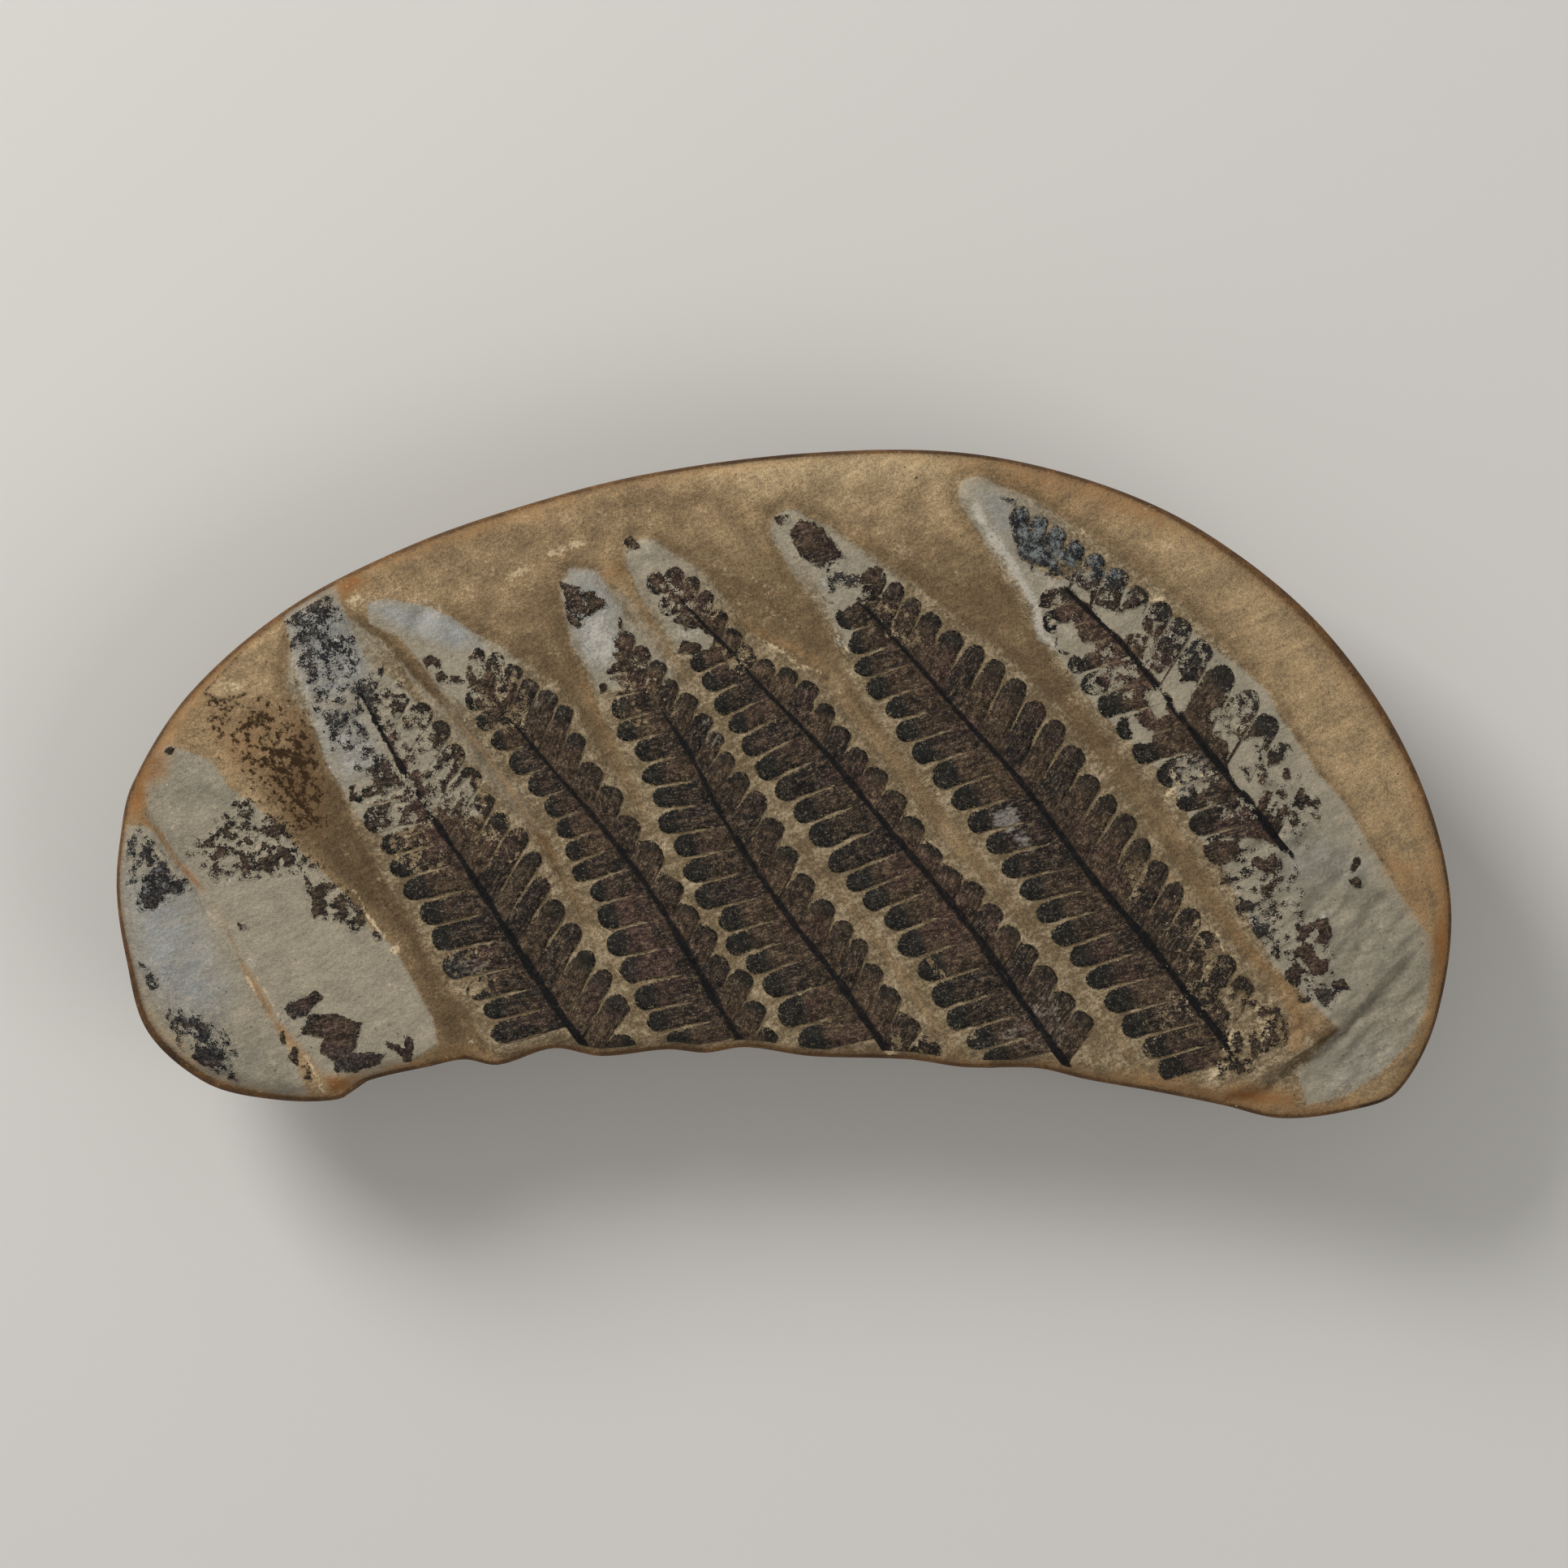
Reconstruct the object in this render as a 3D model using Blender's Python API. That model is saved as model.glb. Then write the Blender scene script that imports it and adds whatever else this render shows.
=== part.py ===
# Fern fossil nodule: one half of a split ironstone concretion, lying on its rounded back.
# The split face is up. Eight leaflets of a tree fern cross it from the upper left to the lower right.
# The stone is one solid: the fern's swells, pinnules and rachises are low relief of the same stone.
# +X runs along the length, +Z up, and the origin is below the middle, on the resting face.

import math

import bmesh
import bpy
import numpy as np
from mathutils import Vector, noise
from mathutils.geometry import delaunay_2d_cdt

MM = 0.001

# Driving dimensions, in millimetres. The silhouette's points below span LENGTH by WIDTH.
LENGTH = 120.0
WIDTH = 60.0
THICKNESS = 17.0
REST_CENTRE = (1.0, -1.5)
REST_RADII = (19.0, 8.5)

# The edge of the face
EDGE_STEP = 2.8
CRUST_INSET = 0.45
CRUST_INSET_WORN = 0.95
SHOULDER_DROP = 1.7
EDGE_DROP = 0.5
RIM_WIDTH = 1.8

# Relief on the face
SWELL = 0.75
SWELL_MARGIN = 0.9
GROOVE_DEPTH = 0.25
GROOVE_WIDTH = 0.9
PINNULE_RISE = 0.38
RACHIS_RISE = 0.35
RACHIS_HALF_WIDTH = 0.55
LEDGE_DROP = 0.9
LEDGE_FADE = 9.0
UNDULATION = 0.35
UNDULATION_SIZE = 22.0

# How pinnules sit on a rachis: they lean towards the leaflet's tip, and nearly fill their row
LEAN = math.radians(19.0)
PINNULE_SHARE = 0.47
WIDEST_HALF_PINNULE = 1.25
PINNULE_ROUNDING = 0.16

# How finely the face is drawn. Shares of a pinnule's length are counted from its base.
RACHIS_STEP = 1.5
SWELL_STEP = 3.0
LEDGE_STEP = 2.5
LEDGE_FOOT = Vector((0.5, -0.6))
ALONG_PINNULE = (0.12, 0.5, 0.84)
PINNULE_SHOULDER = 0.95
PINNULE_SHOULDER_WIDTH = 0.62
CLOSEST = 0.42
CLOSEST_ON_SWELL = 1.6
GRID = 2.9

# The back
RING_DROPS = (0.2, 0.36, 0.52, 0.68, 0.82, 0.92, 0.98)
ROUND_SIDE = 2.1
BROKEN_SIDE = 3.6
BROKEN_MIDDLE = -4.0
BROKEN_REACH = 42.0
LUMPS = 0.7
LUMP_SIZE = 13.0

# The stone's silhouette, from the left end over the round upper side to the right end
ROUND_EDGE = [
    (-60.0, -9.8), (-59.7, -5.0), (-58.6, 0.0), (-53.5, 8.1), (-44.6, 15.8), (-34.0, 21.3),
    (-23.9, 24.9), (-12.3, 27.9), (2.4, 29.8), (16.3, 29.8), (28.3, 27.1), (38.2, 22.5),
    (48.5, 14.1), (56.3, 2.6), (60.0, -9.8), (58.9, -20.7), (55.3, -27.7), (51.0, -29.4),
    (44.8, -30.1),
]
# and back along the lower side, where the stone is chipped
BROKEN_EDGE = [
    (39.5, -28.9), (33.5, -27.7), (27.3, -26.6), (22.9, -25.6), (16.3, -25.5), (11.3, -24.8),
    (2.4, -24.5), (-3.4, -23.7), (-7.0, -24.2), (-10.4, -23.9), (-16.4, -24.5), (-20.7, -23.8),
    (-25.7, -25.3), (-28.7, -24.8), (-31.7, -25.4), (-37.6, -26.8), (-40.1, -28.4),
    (-46.8, -28.3), (-52.2, -26.8), (-57.3, -22.2), (-59.2, -15.5),
]

# Each leaflet (pinna), from its tip down: the points its rachis follows, then the tips of its
# pinnules on the left and on the right
PINNAE = {
    "third": {
        "rachis": [(-42.6, 15.4), (-38.5, 9.0), (-35.6, 3.8), (-32.2, -1.9), (-28.3, -7.7),
                   (-25.0, -12.9), (-21.6, -18.3), (-19.1, -21.9), (-16.0, -26.5)],
        "left": [(-44.0, 9.3), (-42.3, 6.1), (-40.5, 3.3), (-38.9, -0.9), (-37.7, -3.5),
                 (-36.2, -5.7), (-35.4, -7.7), (-34.2, -9.7), (-32.7, -11.9), (-31.6, -14.0),
                 (-30.6, -16.6), (-28.5, -18.8), (-27.0, -20.4), (-26.3, -22.6)],
        "right": [(-36.5, 12.0), (-33.9, 9.0), (-31.8, 7.1), (-30.3, 5.6), (-29.1, 3.5),
                  (-27.6, 1.3), (-26.4, -0.9), (-25.1, -2.6), (-23.4, -4.0), (-22.0, -6.2),
                  (-21.5, -8.3), (-20.1, -10.5), (-18.6, -12.6), (-17.3, -15.0), (-15.8, -16.7),
                  (-14.6, -18.9), (-13.6, -22.8)],
    },
    "fourth": {
        "rachis": [(-31.0, 13.5), (-27.2, 9.0), (-23.8, 4.9), (-19.6, 0.0), (-15.8, -4.5),
                   (-12.1, -9.4), (-8.7, -15.0), (-6.2, -19.3), (-3.7, -23.4),
                   (-1.3, -27.2)],
        "left": [(-30.7, 9.1), (-28.5, 7.0), (-27.6, 5.4), (-26.3, 3.6), (-24.6, 1.6),
                 (-22.9, -0.5), (-21.4, -2.4), (-20.4, -4.4), (-19.6, -6.3), (-19.0, -8.2),
                 (-17.4, -9.9), (-16.7, -12.1), (-15.9, -14.7), (-14.8, -16.8), (-13.4, -19.5),
                 (-12.3, -21.5), (-10.6, -23.2)],
        "right": [(-27.2, 12.2), (-25.6, 11.8), (-24.0, 10.7), (-22.6, 9.4), (-20.9, 8.4),
                  (-19.3, 7.0), (-18.5, 4.6), (-17.1, 1.9), (-15.1, -0.3), (-13.7, -2.9),
                  (-11.8, -5.1), (-9.6, -8.6), (-8.3, -10.9), (-6.4, -13.0), (-5.4, -15.5),
                  (-3.4, -16.8), (-2.1, -19.6), (-1.1, -22.0)],
    },
    "fifth": {
        "rachis": [(-18.2, 17.0), (-14.8, 12.2), (-11.9, 7.8), (-8.6, 3.0), (-5.7, -2.6),
                   (-2.3, -8.0), (1.0, -12.7), (4.0, -16.4), (7.5, -21.4), (11.0, -26.3)],
        "left": [(-18.4, 13.0), (-16.9, 10.4), (-16.4, 8.4), (-15.5, 6.6), (-15.0, 4.4),
                 (-13.4, 2.8), (-12.8, 0.5), (-11.8, -1.3), (-11.3, -3.6), (-9.9, -5.8),
                 (-9.1, -8.0), (-8.0, -10.4), (-5.9, -12.5), (-5.2, -14.7), (-3.4, -16.4),
                 (-1.9, -18.3), (-0.5, -21.0), (1.3, -23.3)],
        "right": [(-15.0, 15.2), (-13.8, 13.6), (-12.5, 12.4), (-10.9, 11.0), (-9.9, 9.4),
                  (-8.4, 8.1), (-6.8, 6.2), (-5.8, 4.6), (-4.8, 2.8), (-3.5, 1.0), (-2.1, -0.7),
                  (-0.6, -3.2), (0.7, -5.7), (2.0, -8.1), (3.9, -10.4), (5.7, -12.3),
                  (7.0, -13.9), (8.3, -16.2), (9.7, -18.2), (11.4, -20.9), (13.6, -23.1)],
    },
    "sixth": {
        "rachis": [(-12.4, 20.2), (-8.4, 15.6), (-5.2, 12.3), (-1.6, 8.3), (3.2, 3.4),
                   (7.4, -1.6), (11.9, -7.0), (15.4, -11.2), (18.9, -15.9), (22.1, -20.6),
                   (24.6, -24.2), (26.8, -27.4)],
        "left": [(-12.3, 17.6), (-11.2, 15.6), (-10.2, 13.8), (-9.3, 12.1), (-8.4, 10.6),
                 (-7.3, 8.9), (-6.2, 6.7), (-5.0, 5.0), (-3.7, 3.0), (-2.5, 1.0), (-0.8, -1.0),
                 (0.9, -2.9), (2.3, -4.9), (4.0, -7.5), (5.6, -9.2), (7.1, -10.7), (9.0, -12.5),
                 (10.2, -14.9), (12.0, -17.0), (13.3, -19.3), (14.6, -21.4), (16.4, -23.3),
                 (17.9, -24.9)],
        "right": [(-9.4, 19.4), (-7.9, 18.6), (-6.7, 17.3), (-5.6, 15.6), (-4.3, 13.9),
                  (-3.0, 12.3), (-1.3, 11.2), (0.7, 10.4), (2.4, 9.2), (4.0, 7.2), (5.4, 5.1),
                  (6.9, 3.2), (8.7, 1.4), (10.3, -0.7), (11.9, -3.0), (13.5, -5.6), (15.2, -7.5),
                  (17.4, -8.9), (19.1, -10.9), (20.7, -12.8), (22.3, -14.5), (23.9, -16.4),
                  (25.6, -18.8), (27.2, -20.6)],
    },
    "seventh": {
        "rachis": [(0.6, 22.8), (4.2, 18.8), (7.5, 15.6), (12.4, 10.2), (15.9, 6.1), (20.3, 1.3),
                   (24.3, -3.8), (27.8, -8.6), (32.0, -13.4), (36.3, -19.0), (39.3, -22.8),
                   (43.5, -27.6)],
        "left": [(1.4, 19.6), (3.4, 16.8), (4.7, 14.6), (5.8, 12.1), (6.3, 10.2), (7.4, 8.3),
                 (9.1, 6.4), (10.1, 4.4), (11.5, 2.6), (13.3, 0.3), (15.0, -1.8), (16.5, -3.7),
                 (18.1, -5.6), (19.5, -7.7), (21.1, -9.8), (22.6, -11.8), (24.0, -13.8),
                 (25.7, -15.9), (27.1, -17.7), (28.7, -19.7), (30.3, -22.0), (32.1, -24.0),
                 (33.6, -25.8)],
        "right": [(3.6, 22.4), (6.0, 20.9), (8.8, 19.1), (10.3, 18.1), (11.9, 16.6),
                  (13.4, 15.4), (15.6, 13.7), (17.6, 12.4), (19.3, 11.1), (21.2, 9.4),
                  (23.0, 7.4), (24.7, 5.7), (26.4, 3.3), (27.9, 0.7), (29.5, -1.0), (31.2, -2.8),
                  (32.5, -4.9), (34.0, -7.0), (35.5, -8.8), (36.9, -11.2), (38.6, -13.4),
                  (40.1, -15.4), (41.6, -17.4)],
    },
    "eighth": {
        "rachis": [(17.5, 25.8), (21.5, 21.6), (25.3, 17.5), (30.3, 12.6), (34.0, 8.0),
                   (37.9, 3.1), (41.1, -0.9), (45.4, -6.6), (48.2, -11.0)],
        "left": [(22.2, 16.4), (23.3, 14.0), (24.4, 12.2), (25.5, 10.4), (26.6, 8.6),
                 (28.2, 6.7), (29.8, 4.7), (31.3, 2.6), (33.4, 0.6), (35.2, -1.9), (36.3, -3.8),
                 (37.6, -6.2), (39.1, -8.4), (41.0, -11.2), (43.2, -14.6)],
        "right": [(21.6, 24.9), (23.3, 24.0), (24.8, 23.1), (26.5, 21.8), (28.3, 20.7),
                  (30.3, 19.3), (32.1, 17.7), (34.3, 16.3), (36.0, 14.8), (37.7, 12.9),
                  (39.8, 10.6), (42.2, 8.4), (43.8, 6.1), (45.2, 3.6), (46.4, 1.0)],
    },
}

# The two bare leaflets at the left end, and the broad bare base of the last one: a middle line,
# each point with half the swell's width there
BARE_SWELLS = [
    [(-58.5, -3.0, 1.5), (-56.5, -9.0, 2.9), (-53.5, -16.0, 4.2), (-48.0, -24.0, 5.6),
     (-44.5, -28.0, 6.2)],
    [(-55.0, 3.0, 1.6), (-50.5, -2.5, 4.4), (-45.5, -9.5, 6.6), (-40.0, -17.0, 7.2),
     (-34.5, -24.0, 7.4)],
    [(43.0, 4.0, 6.0), (47.5, -3.0, 7.2), (50.5, -12.0, 7.8), (50.5, -21.0, 7.6)],
]

# The step across the lower right corner: the stone is lower on its outer side
LEDGE = [(51.3, -20.4), (50.1, -21.7), (47.9, -23.4), (46.2, -24.4), (44.8, -25.5),
         (42.5, -27.0), (39.7, -28.1)]


def along_curve(controls, step, closed):
    """Points about step apart on a smooth curve through the controls."""
    count = len(controls)
    spans = count if closed else count - 1
    found = []
    for i in range(spans):
        near = [Vector(controls[(i + k) % count] if closed else
                       controls[min(max(i + k, 0), count - 1)]) for k in (-1, 0, 1, 2)]
        before, start, end, after = near
        # Tangents that allow for uneven spacing, so that the curve doesn't overshoot
        gap = max((end - start).length, 1e-6)
        leave = (end - before) * gap / max((end - start).length + (start - before).length, 1e-6)
        arrive = (after - start) * gap / max((after - end).length + (end - start).length, 1e-6)
        steps = max(1, round(gap / step))
        for k in range(steps):
            t = k / steps
            found.append(
                start * (2 * t**3 - 3 * t**2 + 1) + leave * (t**3 - 2 * t**2 + t)
                + end * (3 * t**2 - 2 * t**3) + arrive * (t**3 - t**2)
            )
    if not closed:
        found.append(Vector(controls[-1]))
    return found


def outward(loop, i):
    """The direction straight out of a clockwise loop at its point i."""
    tangent = (loop[(i + 1) % len(loop)] - loop[i - 1]).normalized()
    return Vector((-tangent.y, tangent.x))


def inset(loop, distances):
    """The loop moved inwards, by its own distance at each point."""
    return [p - outward(loop, i) * distances[i] for i, p in enumerate(loop)]


def bump(value, centre, reach):
    """1 at the centre, falling smoothly to 0 at the reach."""
    t = min(abs(value - centre) / reach, 1.0)
    return (1 - t * t) ** 2


def crust_width(p):
    """How far the outer crust shows beyond the face: more where the edge is worn back."""
    worn = max(bump((p - Vector((-54.0, -24.0))).length, 0, 16.0),
               bump((p - Vector((49.0, 14.0))).length, 0, 26.0))
    return CRUST_INSET + (CRUST_INSET_WORN - CRUST_INSET) * worn


def segments(points):
    """Pairs of neighbouring points, as arrays."""
    line = np.array([tuple(p) for p in points], dtype=float)
    return line[:-1], line[1:]


def beside(line, spots):
    """For each spot: its station along the line, its offset, and its distance. The offset is
    positive on the right hand of someone who walks the line."""
    starts, ends = segments(line)
    station = np.zeros(len(spots))
    offset = np.zeros(len(spots))
    nearest = np.full(len(spots), np.inf)
    walked = 0.0
    for a, b in zip(starts, ends):
        length = np.hypot(*(b - a))
        run = (b - a) / length
        rel = spots - a
        t = np.clip(rel @ run, 0.0, length)
        away = rel - t[:, None] * run
        distance = np.hypot(away[:, 0], away[:, 1])
        side = run[0] * rel[:, 1] - run[1] * rel[:, 0]
        closer = distance < nearest
        nearest[closer] = distance[closer]
        station[closer] = walked + t[closer]
        offset[closer] = np.where(side < 0, distance, -distance)[closer]
        walked += length
    return station, offset, nearest


def at_station(line, station):
    """The point at a station along a line, and the line's direction there. It goes on past the
    line's end."""
    for a, b in zip(line, line[1:]):
        length = (b - a).length
        if station <= length or b is line[-1]:
            run = (b - a) / length
            return a + run * station, run
        station -= length


def lay_pinnules(pinna):
    """One side at a time, each pinnule's base, tip and half width."""
    line = along_curve(pinna["rachis"], RACHIS_STEP, closed=False)
    laid = {}
    for side in ("left", "right"):
        tips = np.array(pinna[side], dtype=float)
        station, _, distance = beside(line, tips)
        bases = [at_station(line, s + d * math.tan(LEAN))[0] for s, d in zip(station, distance)]
        tips = [Vector(t) for t in tips]
        middles = [(b + t) / 2 for b, t in zip(bases, tips)]
        row = []
        for i, (base, tip) in enumerate(zip(bases, tips)):
            gaps = [(middles[j] - middles[i]).length for j in (i - 1, i + 1) if 0 <= j < len(tips)]
            half = min(PINNULE_SHARE * sum(gaps) / len(gaps), WIDEST_HALF_PINNULE)
            row.append((base, tip, half))
        laid[side] = row
    return line, laid


def swell_height(line, half_left, half_right, spots):
    """A long low swell, with a narrow groove round it. The halves are widths by station."""
    station, offset, _ = beside(line, spots)
    half = np.where(offset > 0, np.interp(station, *half_left), np.interp(station, *half_right))
    t = np.abs(offset) / half
    outside = np.abs(offset) - half
    swell = SWELL * np.clip(1 - t**3, 0, 1) ** 0.75
    groove = GROOVE_DEPTH * np.clip(1 - np.abs(outside / GROOVE_WIDTH - 0.6), 0, 1)
    return np.where(t < 1, swell, 0.0), np.where(t < 1.0, 0.0, groove)


def face_heights(spots, edge):
    """The face's height over its own level at each spot."""
    swell = np.zeros(len(spots))
    groove = np.zeros(len(spots))
    relief = np.zeros(len(spots))
    for pinna in PINNAE.values():
        line, laid = lay_pinnules(pinna)
        halves = []
        for side in ("left", "right"):
            tips = np.array(pinna[side], dtype=float)
            at, _, distance = beside(line, tips)
            halves.append((np.concatenate(([0.0], at)),
                           np.concatenate(([1.0], distance)) + SWELL_MARGIN))
            for base, tip, half in laid[side]:
                run = (tip - base).normalized()
                rel = spots - np.array(base)
                u = (rel @ np.array(run)) / (tip - base).length
                v = (run.x * rel[:, 1] - run.y * rel[:, 0]) / half
                pad = np.clip(1 - v * v, 0, 1) * np.clip((1 - u) / PINNULE_ROUNDING, 0, 1)
                relief = np.maximum(relief, PINNULE_RISE * pad * (u > 0))
        high, low = swell_height(line, *halves, spots)
        swell, groove = np.maximum(swell, high), np.maximum(groove, low)
        _, _, distance = beside(line, spots)
        ridge = np.clip(1 - (distance / RACHIS_HALF_WIDTH) ** 2, 0, 1)
        relief = np.maximum(relief, (PINNULE_RISE + RACHIS_RISE) * ridge)
    for band in BARE_SWELLS:
        line = along_curve([p[:2] for p in band], SWELL_STEP, closed=False)
        at, _, _ = beside(line, np.array([p[:2] for p in band], dtype=float))
        widths = (at, np.array([p[2] for p in band]))
        high, low = swell_height(line, widths, widths, spots)
        swell, groove = np.maximum(swell, high), np.maximum(groove, low)
    heights = np.where(swell > 0, swell, -groove) + relief
    _, offset, distance = beside([Vector(p) for p in LEDGE], spots)
    heights -= np.where(offset < 0, LEDGE_DROP * np.clip(1 - distance / LEDGE_FADE, 0, 1), 0)
    heights += [UNDULATION * noise.noise(Vector((x, y, 0)) / UNDULATION_SIZE) for x, y in spots]
    # The edge is worn down
    loop = [Vector(p) for p in edge]
    _, _, inside_by = beside(loop + loop[:1], spots)
    worn = np.clip(1 - inside_by / RIM_WIDTH, 0, 1) ** 2
    return heights * (1 - worn) - EDGE_DROP * worn


class Sketch:
    """The points and lines that the face's triangles keep to."""

    def __init__(self, loop, limit):
        self.points = list(loop)
        self.lines = []
        self.limit = np.array([tuple(p) for p in limit])

    def inside(self, p):
        a, b = self.limit, np.roll(self.limit, -1, axis=0)
        crosses = (a[:, 1] > p.y) != (b[:, 1] > p.y)
        with np.errstate(divide="ignore", invalid="ignore"):
            at = a[:, 0] + (p.y - a[:, 1]) * (b[:, 0] - a[:, 0]) / (b[:, 1] - a[:, 1])
        return bool(np.count_nonzero(crosses & (p.x < at)) % 2)

    def add(self, p, closest=CLOSEST):
        """The index of a point here, of one that is close, or None outside the face."""
        if not self.inside(p):
            return None
        gaps = np.hypot(*(np.array([tuple(q) for q in self.points]) - np.array(p)).T)
        if gaps.min() < closest:
            return int(gaps.argmin())
        self.points.append(Vector(p))
        return len(self.points) - 1

    def chain(self, points):
        """Lines through points in order, left out where one is off the face."""
        ids = [self.add(p) for p in points]
        for a, b in zip(ids, ids[1:]):
            if a is not None and b is not None and a != b and (b, a) not in self.lines:
                self.lines.append((a, b))


def draw_side(sketch, row):
    """One side of a leaflet: a ridge along each pinnule, a valley between, a scalloped edge."""
    ridges = [[base.lerp(tip, u) for u in ALONG_PINNULE] for base, tip, _ in row]
    valleys = []
    for i in range(len(row) + 1):
        if 0 < i < len(row):
            valleys.append([(a + b) / 2 for a, b in zip(ridges[i - 1], ridges[i])])
            continue
        # Past the first and the last pinnule the valley is half a width outside it
        own = ridges[0] if i == 0 else ridges[-1]
        other = ridges[1] if i == 0 else ridges[-2]
        valleys.append([a + (a - b) / 2 for a, b in zip(own, other)])
    for i, (base, tip, half) in enumerate(row):
        run = (tip - base).normalized()
        across = Vector((-run.y, run.x)) * half * PINNULE_SHOULDER_WIDTH
        shoulder = base.lerp(tip, PINNULE_SHOULDER)
        before, after = valleys[i][-1], valleys[i + 1][-1]
        sides = [shoulder + across, shoulder - across]
        sides.sort(key=lambda p: (p - before).length)
        sketch.chain([before, sides[0], tip, sides[1], after])
        sketch.chain(ridges[i] + [tip])
    for valley in valleys:
        sketch.chain(valley)


def face_sketch(edge, rim):
    """Everything that is drawn on the face: its rim, the leaflets, the ledge and a loose grid."""
    sketch = Sketch(edge, rim)
    first = len(sketch.points)
    sketch.points += rim
    sketch.lines += [(first + i, first + (i + 1) % len(rim)) for i in range(len(rim))]
    for pinna in PINNAE.values():
        line, laid = lay_pinnules(pinna)
        sketch.chain(line[1:])
        draw_side(sketch, laid["left"])
        draw_side(sketch, laid["right"])
    for band in BARE_SWELLS:
        line = along_curve([p[:2] for p in band], SWELL_STEP, closed=False)
        at, _, _ = beside(line, np.array([p[:2] for p in band], dtype=float))
        for station in np.arange(0.0, at[-1], SWELL_STEP):
            p, run = at_station(line, station)
            half = np.interp(station, at, [q[2] for q in band])
            for side in (-half, 0, half):
                sketch.add(p + Vector((-run.y, run.x)) * side, closest=CLOSEST_ON_SWELL)
    ledge = along_curve(LEDGE, LEDGE_STEP, closed=False)
    sketch.chain(ledge)
    sketch.chain([p + LEDGE_FOOT for p in ledge])
    row_gap = GRID * math.sqrt(3) / 2
    for j, y in enumerate(np.arange(-WIDTH / 2, WIDTH / 2, row_gap)):
        for x in np.arange(-LENGTH / 2 + GRID / 2 * (j % 2), LENGTH / 2, GRID):
            sketch.add(Vector((x, y)), closest=GRID / 2)
    return sketch


def back_ring(silhouette, drop):
    """The stone's outline at a share of the way down from the shoulder to the resting face."""
    ring = []
    for p in silhouette:
        broken = bump(p.x, BROKEN_MIDDLE, BROKEN_REACH) if p.y < 0 else 0.0
        power = ROUND_SIDE + (BROKEN_SIDE - ROUND_SIDE) * broken
        reach = (1 - drop**power) ** (1 / power)
        rest = rest_point(p)
        spot = rest + (p - rest) * reach
        height = (THICKNESS - SHOULDER_DROP) * (1 - drop)
        here = Vector((spot.x, spot.y, height))
        lump = LUMPS * noise.noise(here / LUMP_SIZE) * 4 * drop * (1 - drop)
        ring.append(here + (p - rest).normalized().to_3d() * lump)
    return ring


def rest_point(p):
    """The point of the resting face's rim that lies below a point of the silhouette."""
    centre = Vector(REST_CENTRE)
    turn = math.atan2((p.y - centre.y) / WIDTH, (p.x - centre.x) / LENGTH)
    return centre + Vector((REST_RADII[0] * math.cos(turn), REST_RADII[1] * math.sin(turn)))


def make_nodule():
    """The whole stone as one closed mesh, in millimetres."""
    silhouette = along_curve(ROUND_EDGE + BROKEN_EDGE, EDGE_STEP, closed=True)
    edge = inset(silhouette, [crust_width(p) for p in silhouette])
    rim = inset(edge, [RIM_WIDTH * 0.7] * len(edge))
    sketch = face_sketch(edge, rim)
    boundary = list(range(len(edge)))
    flat, _, triangles, origins, _, _ = delaunay_2d_cdt(
        sketch.points, sketch.lines, [boundary], 1, 1e-4)
    heights = face_heights(np.array([tuple(p) for p in flat]), edge)

    bm = bmesh.new()
    top = [bm.verts.new((p.x, p.y, THICKNESS + h)) for p, h in zip(flat, heights)]
    for triangle in triangles:
        bm.faces.new([top[i] for i in triangle])
    kept = {i: out for out, sources in enumerate(origins) for i in sources}
    upper = [top[kept[i]] for i in boundary]

    shoulder = [p.to_3d() + Vector((0, 0, THICKNESS - SHOULDER_DROP)) for p in silhouette]
    rings = [shoulder] + [back_ring(silhouette, drop) for drop in RING_DROPS]
    rings.append([rest_point(p).to_3d() for p in silhouette])
    for ring in rings:
        lower = [bm.verts.new(p) for p in ring]
        for i in range(len(ring)):
            j = (i + 1) % len(ring)
            bm.faces.new((upper[i], upper[j], lower[j], lower[i]))
        upper = lower
    bm.faces.new(upper)
    bmesh.ops.recalc_face_normals(bm, faces=bm.faces)
    return bm


def stone_material():
    """Fine-grained tan ironstone."""
    material = bpy.data.materials.new("stone")
    material.use_nodes = True
    shader = material.node_tree.nodes["Principled BSDF"]
    shader.inputs["Base Color"].default_value = (0.26, 0.175, 0.095, 1.0)
    shader.inputs["Roughness"].default_value = 0.85
    shader.inputs["Metallic"].default_value = 0.0
    return material


def clear_scene():
    for thing in list(bpy.data.objects):
        bpy.data.objects.remove(thing)


def main():
    clear_scene()
    bm = make_nodule()
    bmesh.ops.scale(bm, vec=(MM, MM, MM), verts=bm.verts)
    xs = [v.co.x for v in bm.verts]
    ys = [v.co.y for v in bm.verts]
    middle = Vector(((min(xs) + max(xs)) / 2, (min(ys) + max(ys)) / 2, 0))
    bmesh.ops.translate(bm, vec=-middle, verts=bm.verts)
    bmesh.ops.triangulate(bm, faces=[f for f in bm.faces if len(f.verts) == 4])
    mesh = bpy.data.meshes.new("nodule")
    bm.to_mesh(mesh)
    bm.free()
    mesh.materials.append(stone_material())
    nodule = bpy.data.objects.new("nodule", mesh)
    collection = bpy.data.collections.new("fern_fossil_nodule")
    bpy.context.scene.collection.children.link(collection)
    collection.objects.link(nodule)
    print(f"nodule: {len(mesh.polygons)} faces, {len(mesh.vertices)} vertices")


main()
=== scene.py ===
# %% [markdown]
# A fern fossil nodule. Mud hardened round a fern frond, and a blow has split the lump, so that
# one half lies on its round back with the fern on top. The stone is one piece: the leaflets are
# low swells of it, and a film of carbon, thinner than paper, lies on six of them. So there are
# two kinds of piece: the stone, meshed finely enough for its ripples and chips, and the films,
# one for each of the six and one for loose scraps. All stand where the frame's solid stands.

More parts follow.
